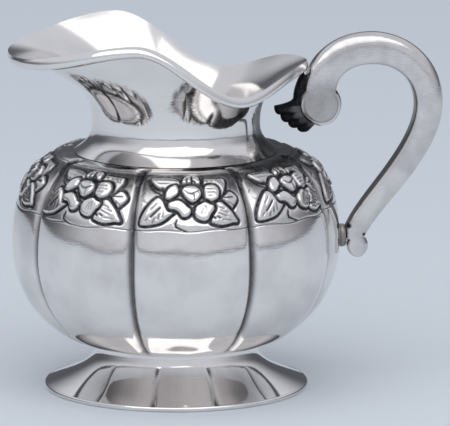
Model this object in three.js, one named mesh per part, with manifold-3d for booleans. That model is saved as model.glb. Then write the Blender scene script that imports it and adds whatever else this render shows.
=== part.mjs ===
// Footed creamer in chased silver: an eight-lobed bowl on a flared foot, a flaring neck with a
// waved lip and a broad spout, and a scroll handle with a leaf under its upper end.
// Millimetres, +Z up. The spout points to -X and the handle to +X.

import * as THREE from 'three';
import { ParametricGeometry } from 'three/addons/geometries/ParametricGeometry.js';
import { mergeVertices } from 'three/addons/utils/BufferGeometryUtils.js';
import Module from 'manifold-3d';

const wasm = await Module();
wasm.setup();

// Heights: the bowl takes what the foot and the neck leave of the whole
const creamerHeight = 99.8;
const footHeight = 12.3;
const neckHeight = 33.8;
const bellyBelowShoulder = 25;
const throatAboveShoulder = 7.5;
const tipBelowCrest = 6.7;
const saddleBelowCrest = 15.9;
const heelBelowCrest = 10.1;

// Foot: a trumpet flare with a wire round its edge
const footRimRadius = 36.4;
const footRimHeight = 1.4;
const footRimWidth = 3;
const footRimEdge = 0.6;
const footTopRadius = 22.2;
const footWall = 0.8;
const footSetback = 0.5;
const footSeatWidth = 2.4;
const footCollarRun = 6.4;
const footFlareRun = 7;
const footFlareRise = 1.55;

// Bowl: a raised body with lobes, and a flower between leaves on each lobe's shoulder
const bellyRadius = 45.4;
const bowlSeatMargin = 0.6;
const bowlWall = 0.8;
const bowlBaseSpread = 12.2;
const bowlBaseLift = 2;
const bowlSideDrop = 16.5;
const shoulderSideRise = 13.5;
const shoulderSpread = 12.5;
const lobeCount = 8;
const lobeDepth = 1.7;
const lobeRunIn = 9;
const lobeRunOut = 4;
const flowerAboveBelly = 21.3;
const flowerRelief = 0.75;
const flowerHalfWidth = 8.6;
const flowerHalfHeight = 6.6;
const heartRelief = 0.5;
const heartRadius = 3;
const leafRelief = 0.35;
const leafOffset = 11.8;
const leafHalfWidth = 4;
const leafHalfHeight = 7.6;
const reliefSteepness = 4;

// Neck: a soldered collar that flares into the lip
const neckSeatRadius = 28;
const neckSeatWidth = 2;
const throatRadius = 23.1;
const neckWall = 0.8;
const neckFilletReach = 3.4;
const neckFilletDrop = 4.2;
const flareStart = 0.54;
const flareStartSide = 0.35;
const flareHold = 0.34;
const flareHoldSide = 0.55;
const flareHoldTilt = 0.35;
const flareLift = 0.8;
const flareLiftSide = 0.7;
const flareEndPower = 3;

// Lip: an egg-shaped plan whose height waves from spout to handle
const spoutReach = 46.2;
const heelReach = 36.4;
const rimHalfWidth = 32;
const rimWidestX = -1.5;
const spoutSquareness = 2.3;
const heelSquareness = 1.65;
const crestX = -14.2;
const saddleX = 16.1;
const tipSlope = 0.17;
const heelSlope = -0.1;
const lipHeight = 3.6;
const lipHeelHeight = 2.4;
const lipThickness = 1.5;

// Handle: a hollow scroll in two halves, its lower end on a pad against the belly
const voluteRadius = 5.9;
const voluteBeyondHeel = 3.3;
const voluteBelowHeel = 11.6;
const handleTopBeyondHeel = 17.5;
const handleTopAboveHeel = 3.7;
const handleSideBeyondHeel = 33.7;
const handleSideBelowHeel = 12.1;
const handleNeckLean = 1.3;
const handleNeckRise = 9.4;
const handleTopRun = 9.2;
const handleSideRun = 8.9;
const handleTailRun = 14.6;
const scrollRadius = 3.05;
const scrollBeyondPad = 3.2;
const scrollBelowBelly = 2.8;
const armEndBeyondPad = 2.1;
const armEndBelowBelly = 1;
const armEndLean = 1.1;
const armEndRise = 8.4;
const handleTopWidth = 8.8;
const handleEndWidth = 6;
const handleTopThickness = 7.2;
const handleEndThickness = 5.6;
const handleTaperStart = 0.27;
const handleBackSquareness = 2.5;
const handleFaceSquareness = 6;
const handleWall = 1.1;
const handleSolidTop = 20;
const handleSolidEnd = 10;
const scrollEdge = 0.8;
const padThickness = 1.5;
const padHalfHeight = 3.2;
const padHalfWidth = 2.6;

// Leaf under the upper scroll
const leafThickness = 5.6;
const leafEdge = 0.5;
const leafStemWidth = 1.35;
const leafReach = 6.6;
const leafTipDrop = 0.4;
const leafBelly = 1.4;
const leafDrop = 1.5;
const leafScallops = 4;
const leafScallopDepth = 0.9;
const leafTopBelowHeel = 2.4;

// Fits
const solderGap = 0.15;
const cutGap = 0.3;

// Facets
const bowlColumns = 96;
const bowlLowerSteps = 6;
const bowlUpperSteps = 12;
const bowlInnerLowerSteps = 4;
const bowlInnerUpperSteps = 5;
const neckColumns = 64;
const filletSteps = 3;
const flareSteps = 9;
const innerFlareSteps = 6;
const lipFrontSteps = 5;
const lipBackSteps = 3;
const footColumns = 60;
const footSteps = 8;
const footInnerSteps = 5;
const handleSides = 14;
const handleStations = 26;
const scrollSegments = 20;
const padSegments = 12;
const leafSegments = 4;
const weldTolerance = 1e-4;
const slopeStep = 0.01;

// Heights and places that follow from the sizes above
const fullTurn = 2 * Math.PI;
const lobeAngle = fullTurn / lobeCount;
const seatHeight = footHeight;
const shoulderHeight = creamerHeight - neckHeight;
const bellyHeight = shoulderHeight - bellyBelowShoulder;
const throatHeight = shoulderHeight + throatAboveShoulder;
const tipHeight = creamerHeight - tipBelowCrest;
const saddleHeight = creamerHeight - saddleBelowCrest;
const heelHeight = creamerHeight - heelBelowCrest;
const padBack = bellyRadius + solderGap;
const padFace = padBack + padThickness;

const flat = (x, y) => new THREE.Vector2(x, y);
const { smoothstep, euclideanModulo, lerp, clamp } = THREE.MathUtils;

function silver(shade, roughness) {
  return new THREE.MeshStandardMaterial({ color: shade, roughness, metalness: 1 });
}

// Shared vertices only, and no triangle with two corners in one place
function weld(geometry) {
  const bare = new THREE.BufferGeometry();
  bare.setAttribute('position', geometry.getAttribute('position'));
  bare.setIndex(geometry.getIndex());
  const merged = mergeVertices(bare, weldTolerance);
  const corners = merged.getIndex().array;
  const kept = [];
  for (let i = 0; i < corners.length; i += 3) {
    const [a, b, c] = corners.slice(i, i + 3);
    if (a !== b && b !== c && c !== a) {
      kept.push(a, b, c);
    }
  }
  merged.setIndex(kept);
  return merged;
}

// A closed skin through rows of points; each row gives its point at a turn round the form
function skin(rows, columns) {
  const last = rows.length - 1;
  const pointAt = (u, v, target) => target.copy(rows[Math.round(v * last)](u * fullTurn));
  return weld(new ParametricGeometry(pointAt, columns, last));
}

function ring(point, turn) {
  return new THREE.Vector3(point.x * Math.cos(turn), point.x * Math.sin(turn), point.y);
}

function toSolid(geometry) {
  const welded = weld(geometry);
  const vertProperties = new Float32Array(welded.getAttribute('position').array);
  const triVerts = new Uint32Array(welded.getIndex().array);
  return new wasm.Manifold(new wasm.Mesh({ numProp: 3, vertProperties, triVerts }));
}

function toGeometry(solid) {
  const { vertProperties, triVerts } = solid.getMesh();
  const geometry = new THREE.BufferGeometry();
  geometry.setAttribute('position', new THREE.BufferAttribute(vertProperties, 3));
  geometry.setIndex(new THREE.BufferAttribute(triVerts, 1));
  return geometry;
}

function namedMesh(name, geometry, shade, roughness) {
  const piece = new THREE.Mesh(geometry, silver(shade, roughness));
  geometry.computeVertexNormals();
  piece.name = name;
  return piece;
}

// The same profile moved sideways by a distance, to the left of its direction of travel
function offsetProfile(points, distance) {
  return points.map((point, i) => {
    const before = points[Math.max(i - 1, 0)];
    const after = points[Math.min(i + 1, points.length - 1)];
    const along = after.clone().sub(before).normalize();
    return flat(point.x - distance * along.y, point.y + distance * along.x);
  });
}

// A superellipse point; squareness 2 is an ellipse and more is boxier
function superEllipse(turn, halfLength, halfWidth, squareness) {
  const power = 2 / squareness;
  const cosine = Math.cos(turn);
  const sine = Math.sin(turn);
  const x = Math.sign(cosine) * halfLength * Math.abs(cosine) ** power;
  const y = Math.sign(sine) * halfWidth * Math.abs(sine) ** power;
  return flat(x, y);
}

// Foot wire: a flat ring with a softened outer edge, standing on the table
function makeFootRim() {
  const inner = footRimRadius - footRimWidth;
  const profile = [
    flat(inner, 0),
    flat(footRimRadius - footRimEdge, 0),
    flat(footRimRadius, footRimEdge),
    flat(footRimRadius - footRimEdge / 3, footRimHeight - footRimEdge / 3),
    flat(footRimRadius - footRimEdge, footRimHeight),
    flat(inner, footRimHeight),
    flat(inner, 0),
  ];
  return skin(profile.map((point) => (turn) => ring(point, turn)), footColumns);
}

// One side of the foot's sheet: a flare that leaves the wire nearly flat and ends upright
function footFlare(edge, drop, topRadius) {
  return new THREE.CubicBezierCurve(
    flat(edge, footRimHeight),
    flat(footRimRadius - footSetback - footFlareRun, footRimHeight + footFlareRise - drop),
    flat(topRadius, footHeight - footCollarRun - drop),
    flat(topRadius, footHeight),
  );
}

// Foot: a trumpet flare from the wire up to the collar under the bowl
function makeFoot() {
  const edge = footRimRadius - footSetback;
  const outer = footFlare(edge, 0, footTopRadius);
  const inner = footFlare(edge - footSeatWidth, footWall, footTopRadius - footWall);
  const profile = [
    ...outer.getPoints(footSteps),
    ...inner.getPoints(footInnerSteps).reverse(),
    flat(edge, footRimHeight),
  ];
  return skin(profile.map((point) => (turn) => ring(point, turn)), footColumns);
}

function fromLobeCrest(angle) {
  return Math.abs(euclideanModulo(angle + lobeAngle / 2, lobeAngle) - lobeAngle / 2);
}

// How far the bowl's skin falls back between its lobes
function lobeValley(angle, height) {
  const runIn = smoothstep(height, seatHeight, seatHeight + lobeRunIn);
  const runOut = 1 - smoothstep(height, shoulderHeight - lobeRunOut, shoulderHeight);
  return lobeDepth * (2 * fromLobeCrest(angle) / lobeAngle) ** 2 * runIn * runOut;
}

// 1 on a raised form, falling to 0 past its half width and half height
function raised(across, above, halfWidth, halfHeight) {
  return Math.exp(-(Math.hypot(across / halfWidth, above / halfHeight) ** reliefSteepness));
}

// How far the flower, its heart and the leaves beside it stand up from the lobe
function flowerRise(angle, aboveBelly) {
  const across = fromLobeCrest(angle) * bellyRadius;
  const above = aboveBelly - flowerAboveBelly;
  const flower = flowerRelief * raised(across, above, flowerHalfWidth, flowerHalfHeight);
  const heart = heartRelief * raised(across, above, heartRadius, heartRadius);
  const leaf = leafRelief * raised(across - leafOffset, above, leafHalfWidth, leafHalfHeight);
  return Math.max(flower + heart, leaf);
}

function bowlPoint(point, angle) {
  const radius = point.x === 0 ? 0 : point.x - lobeValley(angle, point.y);
  return ring(flat(radius, point.y), angle);
}

// Rows on the bowl's shoulder, between its ends: raised, and set in, along the profile's normal
function shoulderRows(curve, steps, inset) {
  return Array.from({ length: steps - 1 }, (_, i) => {
    const share = (i + 1) / steps;
    const point = curve.getPointAt(share);
    const along = curve.getTangentAt(share);
    return (angle) => {
      const out = flowerRise(angle, share * curve.getLength()) - inset;
      return bowlPoint(flat(point.x + out * along.y, point.y - out * along.x), angle);
    };
  });
}

// Bowl: one raised sheet from the foot's seat, round the belly, to the neck's seat
function makeBowl() {
  const base = flat(footTopRadius + bowlSeatMargin, seatHeight);
  const baseLead = flat(base.x + bowlBaseSpread, seatHeight + bowlBaseLift);
  const sideLead = flat(bellyRadius, bellyHeight - bowlSideDrop);
  const belly = flat(bellyRadius, bellyHeight);
  const sideRise = flat(bellyRadius, bellyHeight + shoulderSideRise);
  const shoulder = flat(neckSeatRadius + shoulderSpread, shoulderHeight);
  const mouth = flat(neckSeatRadius, shoulderHeight);
  const lower = new THREE.CubicBezierCurve(base, baseLead, sideLead, belly);
  const upper = new THREE.CubicBezierCurve(belly, sideRise, shoulder, mouth);
  const innerLower = offsetProfile(lower.getPoints(bowlInnerLowerSteps), bowlWall).slice(1);
  const mouthRadius = neckSeatRadius - neckSeatWidth;
  const plain = (point) => (angle) => bowlPoint(point, angle);
  const rows = [
    plain(flat(0, seatHeight)),
    ...lower.getPoints(bowlLowerSteps).map(plain),
    ...shoulderRows(upper, bowlUpperSteps, 0),
    plain(mouth),
    plain(flat(mouthRadius, shoulderHeight)),
    plain(flat(mouthRadius, shoulderHeight - bowlWall)),
    ...shoulderRows(upper, bowlInnerUpperSteps, bowlWall).reverse(),
    ...innerLower.map(plain).reverse(),
    plain(flat(base.x - bowlWall, seatHeight + bowlWall)),
    plain(flat(0, seatHeight + bowlWall)),
  ];
  return skin(rows, bowlColumns);
}

// A cubic from one height and slope to another
function heightBetween(x, start, end) {
  const run = end.x - start.x;
  const share = clamp((x - start.x) / run, 0, 1);
  const ease = share * share * (3 - 2 * share);
  const leave = share * (1 - share) ** 2 * run * start.slope;
  const arrive = share * share * (1 - share) * run * end.slope;
  return lerp(start.z, end.z, ease) + leave - arrive;
}

function rimHeight(x) {
  const tip = { x: -spoutReach, z: tipHeight, slope: tipSlope };
  const crest = { x: crestX, z: creamerHeight, slope: 0 };
  const saddle = { x: saddleX, z: saddleHeight, slope: 0 };
  const heel = { x: heelReach, z: heelHeight, slope: heelSlope };
  if (x < crest.x) {
    return heightBetween(x, tip, crest);
  }
  return x < saddle.x ? heightBetween(x, crest, saddle) : heightBetween(x, saddle, heel);
}

// Edge of the lip: an egg in plan, longer toward the spout
function rimPoint(turn) {
  const towardSpout = Math.cos(turn) < 0;
  const reach = towardSpout ? spoutReach + rimWidestX : heelReach - rimWidestX;
  const squareness = towardSpout ? spoutSquareness : heelSquareness;
  const plan = superEllipse(turn, reach, rimHalfWidth, squareness);
  const x = rimWidestX + plan.x;
  return new THREE.Vector3(x, plan.y, rimHeight(x));
}

// Outer skin of the neck from the throat (share 0) to the lip's edge (share 1): it turns out sooner
// at the two sides than at the spout and the heel
function flareCurve(turn) {
  const toEnd = Math.abs(Math.cos(turn)) ** flareEndPower;
  const start = lerp(flareStartSide, flareStart, toEnd);
  const hold = lerp(flareHoldSide - flareHoldTilt * Math.cos(turn), flareHold, toEnd);
  const lift = lerp(flareLiftSide, flareLift, toEnd);
  const rim = rimPoint(turn);
  const throat = ring(flat(throatRadius, throatHeight), turn);
  const rise = rim.z - throat.z;
  const leave = throat.clone();
  leave.z = throat.z + start * rise;
  const arrive = throat.clone().lerp(rim, hold);
  arrive.z = throat.z + lift * rise;
  return new THREE.CubicBezierCurve3(throat, leave, arrive, rim);
}

// A point of the flare, moved along the skin's outward normal
function flarePoint(turn, share, outward) {
  const point = flareCurve(turn).getPoint(share);
  const ahead = flareCurve(turn + slopeStep).getPoint(share);
  const behind = flareCurve(turn - slopeStep).getPoint(share);
  const up = flareCurve(turn).getTangent(share);
  const normal = ahead.sub(behind).cross(up).normalize();
  return point.addScaledVector(normal, outward);
}

// Neck: collar, throat and flare as one sheet with an open bore
function makeNeck() {
  const fillet = (radius, reach, throat) => new THREE.CubicBezierCurve(
    flat(radius, shoulderHeight),
    flat(radius - reach, (shoulderHeight + throatHeight - neckFilletDrop) / 2),
    flat(throat, throatHeight - neckFilletDrop),
    flat(throat, throatHeight),
  ).getPoints(filletSteps);
  const seatInner = neckSeatRadius - neckSeatWidth;
  const outerFillet = fillet(neckSeatRadius, neckFilletReach, throatRadius);
  const innerFillet = fillet(seatInner, neckFilletReach - neckSeatWidth / 2, throatRadius - neckWall);
  const rows = outerFillet.map((point) => (turn) => ring(point, turn));
  for (let i = 1; i <= flareSteps; i += 1) {
    rows.push((turn) => flarePoint(turn, i / flareSteps, 0));
  }
  for (let i = innerFlareSteps; i >= 1; i -= 1) {
    rows.push((turn) => flarePoint(turn, i / innerFlareSteps, -neckWall));
  }
  innerFillet.reverse().forEach((point) => rows.push((turn) => ring(point, turn)));
  rows.push(rows[0]);
  return skin(rows, neckColumns);
}

// Lip wire: a half-round moulding laid along the outside of the flare, thinner at the heel
function makeLip(grow) {
  const lipPoint = (turn, down, bulge) => {
    const towardHeel = (1 + Math.cos(turn)) / 2;
    const height = lerp(lipHeight, lipHeelHeight, towardHeel);
    const curve = flareCurve(turn);
    const pace = 3 * curve.v3.distanceTo(curve.v2);
    const share = 1 - down * (height + grow) / pace;
    return flarePoint(turn, share, solderGap - grow + bulge * (lipThickness + 2 * grow));
  };
  const rows = [];
  for (let i = 0; i < lipFrontSteps; i += 1) {
    const down = 1 - i / lipFrontSteps;
    rows.push((turn) => lipPoint(turn, down, Math.sqrt(1 - (2 * down - 1) ** 2)));
  }
  for (let i = 0; i <= lipBackSteps; i += 1) {
    rows.push((turn) => lipPoint(turn, i / lipBackSteps, 0));
  }
  return skin(rows, neckColumns);
}

// Middle line of the handle in the XZ plane, from the upper scroll to the lower one
function handlePath() {
  const volute = flat(heelReach + voluteBeyondHeel, heelHeight - voluteBelowHeel);
  const top = flat(heelReach + handleTopBeyondHeel, heelHeight + handleTopAboveHeel);
  const side = flat(heelReach + handleSideBeyondHeel, heelHeight - handleSideBelowHeel);
  const scroll = flat(padFace + scrollBeyondPad, bellyHeight - scrollBelowBelly);
  const end = flat(padFace + armEndBeyondPad, bellyHeight - armEndBelowBelly);
  const path = new THREE.CurvePath();
  path.add(new THREE.CubicBezierCurve(
    volute,
    flat(volute.x - handleNeckLean, volute.y + handleNeckRise),
    flat(top.x - handleTopRun, top.y),
    top,
  ));
  path.add(new THREE.CubicBezierCurve(
    top,
    flat(top.x + handleTopRun, top.y),
    flat(side.x, side.y + handleSideRun),
    side,
  ));
  path.add(new THREE.CubicBezierCurve(
    side,
    flat(side.x, side.y - handleTailRun),
    flat(end.x + armEndLean, end.y + armEndRise),
    end,
  ));
  return { path, volute, scroll };
}

// Arm of the handle: a section with a flat inner face and a rounded back, tapering to its end
function makeArm(path, from, to, inset) {
  const station = (share, size) => (turn) => {
    const taper = clamp((share - handleTaperStart) / (1 - handleTaperStart), 0, 1);
    const halfWidth = lerp(handleTopWidth, handleEndWidth, taper) / 2 - inset;
    const halfThickness = lerp(handleTopThickness, handleEndThickness, taper) / 2 - inset;
    const squareness = Math.cos(turn) > 0 ? handleFaceSquareness : handleBackSquareness;
    const section = superEllipse(turn, size * halfWidth, size * halfThickness, squareness);
    const middle = path.getPoint(share);
    const along = path.getTangent(share);
    return new THREE.Vector3(
      middle.x + section.x * along.y,
      section.y,
      middle.y - section.x * along.x,
    );
  };
  const rows = [station(from, 0)];
  for (let i = 0; i <= handleStations; i += 1) {
    rows.push(station(lerp(from, to, i / handleStations), 1));
  }
  rows.push(station(to, 0));
  return toSolid(skin(rows, handleSides));
}

// A roll lying along Y with softened edges, for the two scroll ends
function makeRoll(centre, radius, thickness) {
  const half = thickness / 2;
  const profile = [
    flat(0, -half),
    flat(radius - scrollEdge, -half),
    flat(radius, scrollEdge - half),
    flat(radius, half - scrollEdge),
    flat(radius - scrollEdge, half),
    flat(0, half),
  ];
  const roll = new THREE.LatheGeometry(profile, scrollSegments);
  roll.translate(centre.x, 0, centre.y);
  return toSolid(roll);
}

function makeBox(low, high) {
  const size = high.clone().sub(low);
  const middle = high.clone().add(low).multiplyScalar(1 / 2);
  return toSolid(new THREE.BoxGeometry(size.x, size.y, size.z).translate(...middle));
}

// The whole handle's outside, grown by a clearance where it is used to cut a neighbour
function makeHandleBody(grow) {
  const { path, volute, scroll } = handlePath();
  const upper = makeRoll(volute, voluteRadius + grow, handleTopThickness + 2 * grow);
  const lower = makeRoll(scroll, scrollRadius + grow, handleEndThickness + 2 * grow);
  return makeArm(path, 0, 1, -grow).add(upper).add(lower);
}

// Half of the handle, hollow along its arm; side is -1 for the near half and 1 for the far one
function makeHandleHalf(side, lipCutter) {
  const { path } = handlePath();
  const length = path.getLength();
  const hollow = makeArm(path, handleSolidTop / length, 1 - handleSolidEnd / length, handleWall);
  const reach = heelReach + handleSideBeyondHeel + handleTopWidth;
  const low = new THREE.Vector3(padFace, Math.min(side * handleTopThickness, 0), 0);
  const high = new THREE.Vector3(reach, Math.max(side * handleTopThickness, 0), heelHeight * 2);
  const upperLow = low.clone().setX(0).setZ((bellyHeight + shoulderHeight) / 2);
  const keep = makeBox(low, high).add(makeBox(upperLow, high));
  const half = makeHandleBody(0).subtract(hollow).subtract(lipCutter).intersect(keep);
  return toGeometry(half);
}

// Pad: an oval plate between the belly and the lower end of the handle
function makePad() {
  const oval = new THREE.Shape();
  oval.absellipse(0, 0, padHalfWidth, padHalfHeight, 0, fullTurn);
  const pad = new THREE.ExtrudeGeometry(oval, {
    depth: padThickness,
    bevelEnabled: false,
    curveSegments: padSegments,
  });
  pad.rotateX(Math.PI / 2).rotateZ(Math.PI / 2);
  pad.translate(padBack, 0, bellyHeight);
  return weld(pad);
}

// Leaf: a stem along the upper scroll and a blade with a scalloped edge, cut to fit the scroll
function makeLeaf(lipCutter) {
  const { volute } = handlePath();
  const back = volute.x - voluteRadius - leafStemWidth;
  const tip = flat(back + leafStemWidth - leafReach, volute.y - leafTipDrop);
  const toe = flat(volute.x - voluteRadius, volute.y - voluteRadius - leafDrop);
  const top = flat(heelReach - leafStemWidth, heelHeight - leafTopBelowHeel);
  const outline = new THREE.Shape();
  outline.moveTo(volute.x, top.y);
  outline.lineTo(top.x, top.y);
  outline.quadraticCurveTo(back, volute.y + voluteRadius, back, volute.y + voluteRadius / 3);
  outline.quadraticCurveTo(back, volute.y + leafTipDrop, tip.x, tip.y);
  const chord = toe.clone().sub(tip);
  const outward = flat(chord.y, -chord.x).normalize();
  const lead = tip.clone().lerp(toe, 1 / 2).addScaledVector(outward, 2 * leafBelly);
  const edge = new THREE.QuadraticBezierCurve(tip, lead, toe);
  for (let i = 1; i <= leafScallops; i += 1) {
    const end = edge.getPoint(i / leafScallops);
    const bulge = edge.getPoint((i - 1 / 2) / leafScallops);
    bulge.addScaledVector(outward, 2 * leafScallopDepth);
    outline.quadraticCurveTo(bulge.x, bulge.y, end.x, end.y);
  }
  outline.lineTo(volute.x, volute.y - voluteRadius / 2);
  outline.closePath();
  const blade = new THREE.ExtrudeGeometry(outline, {
    depth: leafThickness - 2 * leafEdge,
    bevelThickness: leafEdge,
    bevelSize: leafEdge,
    bevelOffset: -leafEdge,
    bevelSegments: 1,
    curveSegments: leafSegments,
  });
  blade.rotateX(Math.PI / 2);
  blade.translate(0, leafThickness / 2 - leafEdge, 0);
  const leaf = toSolid(blade).subtract(makeHandleBody(cutGap)).subtract(lipCutter);
  return toGeometry(leaf);
}

const lipCutter = toSolid(makeLip(cutGap));
const creamer = new THREE.Group();
creamer.add(
  namedMesh('bowl', makeBowl(), 0xc9ccd2, 0.18),
  namedMesh('neck', makeNeck(), 0xc9ccd2, 0.18),
  namedMesh('lip_wire', makeLip(0), 0xd4d6da, 0.14),
  namedMesh('foot', makeFoot(), 0xc4c7cd, 0.2),
  namedMesh('foot_rim', makeFootRim(), 0xc4c7cd, 0.2),
  namedMesh('handle_near', makeHandleHalf(-1, lipCutter), 0xcdd0d5, 0.2),
  namedMesh('handle_far', makeHandleHalf(1, lipCutter), 0xcdd0d5, 0.2),
  namedMesh('handle_pad', makePad(), 0xbfc2c8, 0.25),
  namedMesh('handle_leaf', makeLeaf(lipCutter), 0x6f7378, 0.35),
);

// The origin is on the table, under the middle of the whole creamer
const extent = new THREE.Box3().setFromObject(creamer);
const middle = extent.getCenter(new THREE.Vector3());
creamer.position.set(-middle.x, -middle.y, -extent.min.z);

export default creamer;
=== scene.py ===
"""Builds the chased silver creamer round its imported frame.

Each piece is a numpy surface. The sums are in millimetres round the jug's own axis, and the
points go into the mesh in metres in the part's frame. The spout points to -X, the handle to +X.
"""

import math
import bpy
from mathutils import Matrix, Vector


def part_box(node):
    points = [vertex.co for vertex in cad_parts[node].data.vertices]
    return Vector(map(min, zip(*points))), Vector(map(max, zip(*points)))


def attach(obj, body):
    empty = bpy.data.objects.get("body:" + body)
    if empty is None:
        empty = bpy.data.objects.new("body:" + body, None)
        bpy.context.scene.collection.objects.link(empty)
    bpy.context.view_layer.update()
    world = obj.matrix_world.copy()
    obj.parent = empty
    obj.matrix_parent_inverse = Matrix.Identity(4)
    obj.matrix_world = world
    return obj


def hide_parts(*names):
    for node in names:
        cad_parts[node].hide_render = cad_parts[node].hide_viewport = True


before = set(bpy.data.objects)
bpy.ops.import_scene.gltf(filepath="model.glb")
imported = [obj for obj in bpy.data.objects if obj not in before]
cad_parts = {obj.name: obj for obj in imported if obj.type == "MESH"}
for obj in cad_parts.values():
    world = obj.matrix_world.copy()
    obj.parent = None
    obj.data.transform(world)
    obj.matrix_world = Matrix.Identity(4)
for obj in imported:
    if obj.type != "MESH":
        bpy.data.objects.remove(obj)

from types import SimpleNamespace

import bpy
import numpy as np
from bpy.props import FloatProperty, FloatVectorProperty, IntProperty, PointerProperty
from mathutils import Vector

bl_info = {
    "name": "Chased silver creamer",
    "version": (1, 0, 0),
    "blender": (4, 5, 0),
    "location": "View3D > Sidebar > Creamer",
    "description": "Builds the lobed and chased silver creamer, its finish and its stage",
    "category": "Add Mesh",
}

MM = 0.001
FULL_TURN = 2.0 * math.pi
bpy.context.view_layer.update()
FOOT_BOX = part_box("foot_rim")
BOWL_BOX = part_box("bowl")
AXIS = np.array([(FOOT_BOX[0].x + FOOT_BOX[1].x) / 2.0, 0.0, 0.0])
BELLY_RADIUS = (BOWL_BOX[1].y - BOWL_BOX[0].y) / 2.0 / MM
SEAT_HEIGHT = BOWL_BOX[0].z / MM
SHOULDER_HEIGHT = BOWL_BOX[1].z / MM
FOOT_RADIUS = (FOOT_BOX[1].y - FOOT_BOX[0].y) / 2.0 / MM


# Settings

def length(label, about, millimetres):
    """A length setting, given in millimetres and kept in metres."""
    return FloatProperty(
        name=label, description=about, default=millimetres * MM, unit="LENGTH", precision=5
    )


def share(label, about, value):
    """A plain number setting."""
    return FloatProperty(name=label, description=about, default=value, precision=4)


def colour(label, about, red, green, blue):
    """A colour setting."""
    return FloatVectorProperty(
        name=label, description=about, default=(red, green, blue, 1.0), size=4,
        subtype="COLOR", min=0.0, max=1.0,
    )


class CreamerBowlSizes(bpy.types.PropertyGroup):
    """Sizes of the lobed bowl and its chasing."""

    belly_radius: length("Belly radius", "Widest radius of the bowl", BELLY_RADIUS)
    seat_height: length("Seat height", "Height of the bowl's seat on the foot", SEAT_HEIGHT)
    belly_height: length("Belly height", "Height of the widest place", 41.0)
    shoulder_height: length("Shoulder height", "Height of the neck's seat", SHOULDER_HEIGHT)
    base_radius: length("Base radius", "Radius where the bowl meets the foot", 22.8)
    base_spread: length("Base spread", "How far the base runs out before it turns up", 12.2)
    base_lift: length("Base lift", "Rise of the base's first run", 2.0)
    side_drop: length("Side drop", "How far the upright side reaches below the belly", 16.5)
    side_rise: length("Side rise", "How far the upright side reaches above the belly", 13.5)
    shoulder_spread: length("Shoulder spread", "Flat run of the shoulder outside the neck", 12.5)
    mouth_radius: length("Mouth radius", "Radius of the neck's seat", 28.0)
    mouth_width: length("Mouth width", "Width of the seat under the neck", 2.0)
    wall: length("Wall", "Thickness of the sheet", 0.8)
    lobes: IntProperty(name="Lobes", description="Number of lobes", default=8, min=3)
    lobe_depth: length("Lobe depth", "How far the sheet falls between lobes", 1.7)
    lobe_run_in: length("Lobe run in", "Height over which lobes grow from the base", 9.0)
    lobe_run_out: length("Lobe run out", "Height over which lobes fade at the shoulder", 4.0)
    groove_depth: length("Groove depth", "Depth of the chased line between lobes", 1.0)
    groove_width: length("Groove width", "Half width of the chased line between lobes", 0.9)
    relief: share("Relief", "Strength of the flower relief", 1.0)
    hand_wave: length("Hand wave", "Unevenness left by the hammer", 0.014)


class CreamerNeckSizes(bpy.types.PropertyGroup):
    """Sizes of the neck, its flare and the moulding along its lip."""

    throat_radius: length("Throat radius", "Narrowest radius of the neck", 23.1)
    throat_height: length("Throat height", "Height of the narrowest place", 73.5)
    fillet_reach: length("Fillet reach", "How far the collar leans in at once", 3.5)
    fillet_rise: length("Fillet rise", "Rise of the collar as it leans in", 2.3)
    fillet_drop: length("Fillet drop", "Upright run of the collar below the throat", 3.2)
    flare_start: share("Flare start", "Share of the rise before the flare turns out", 0.54)
    flare_start_side: share("Flare start, sides", "The same at the two sides", 0.26)
    flare_hold: share("Flare hold", "How far out the flare is when it reaches its lift", 0.34)
    flare_hold_side: share("Flare hold, sides", "The same at the two sides", 0.54)
    flare_hold_tilt: share("Flare hold tilt", "How much more toward the spout", 0.4)
    flare_lift: share("Flare lift", "Share of the rise at which the flare runs out", 0.8)
    flare_lift_side: share("Flare lift, sides", "The same at the two sides", 0.62)
    flare_end_power: share("Flare end power", "How close to the ends the end shape keeps", 3.0)
    wall: length("Wall", "Thickness of the sheet", 0.8)
    spout_reach: length("Spout reach", "From the axis to the spout's tip", 46.2)
    heel_reach: length("Heel reach", "From the axis to the lip's heel at the handle", 36.4)
    half_width: length("Half width", "Half the breadth of the lip", 32.0)
    widest_x: length("Widest place", "Where the lip is broadest, along X", -1.5)
    spout_squareness: share("Spout squareness", "Roundness of the spout's plan", 2.3)
    heel_squareness: share("Heel squareness", "Roundness of the heel's plan", 1.65)
    tip_height: length("Tip height", "Height of the spout's tip", 93.1)
    crest_height: length("Crest height", "Height of the lip's crest", 99.7)
    crest_x: length("Crest place", "Where the crest is, along X", -14.2)
    saddle_height: length("Saddle height", "Height of the lip's lowest place", 83.9)
    saddle_x: length("Saddle place", "Where the lowest place is, along X", 16.1)
    heel_height: length("Heel height", "Height of the lip at the handle", 89.7)
    tip_slope: share("Tip slope", "Slope of the lip at the tip", 0.17)
    heel_slope: share("Heel slope", "Slope of the lip at the heel", -0.1)
    hand_wave: length("Hand wave", "Unevenness left by the hammer", 0.013)
    lip_height: length("Lip height", "Height of the moulding at the spout", 3.6)
    lip_heel_height: length("Lip height at the heel", "Height of the moulding there", 2.4)
    lip_thickness: length("Lip thickness", "How far the moulding stands out", 1.5)


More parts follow.
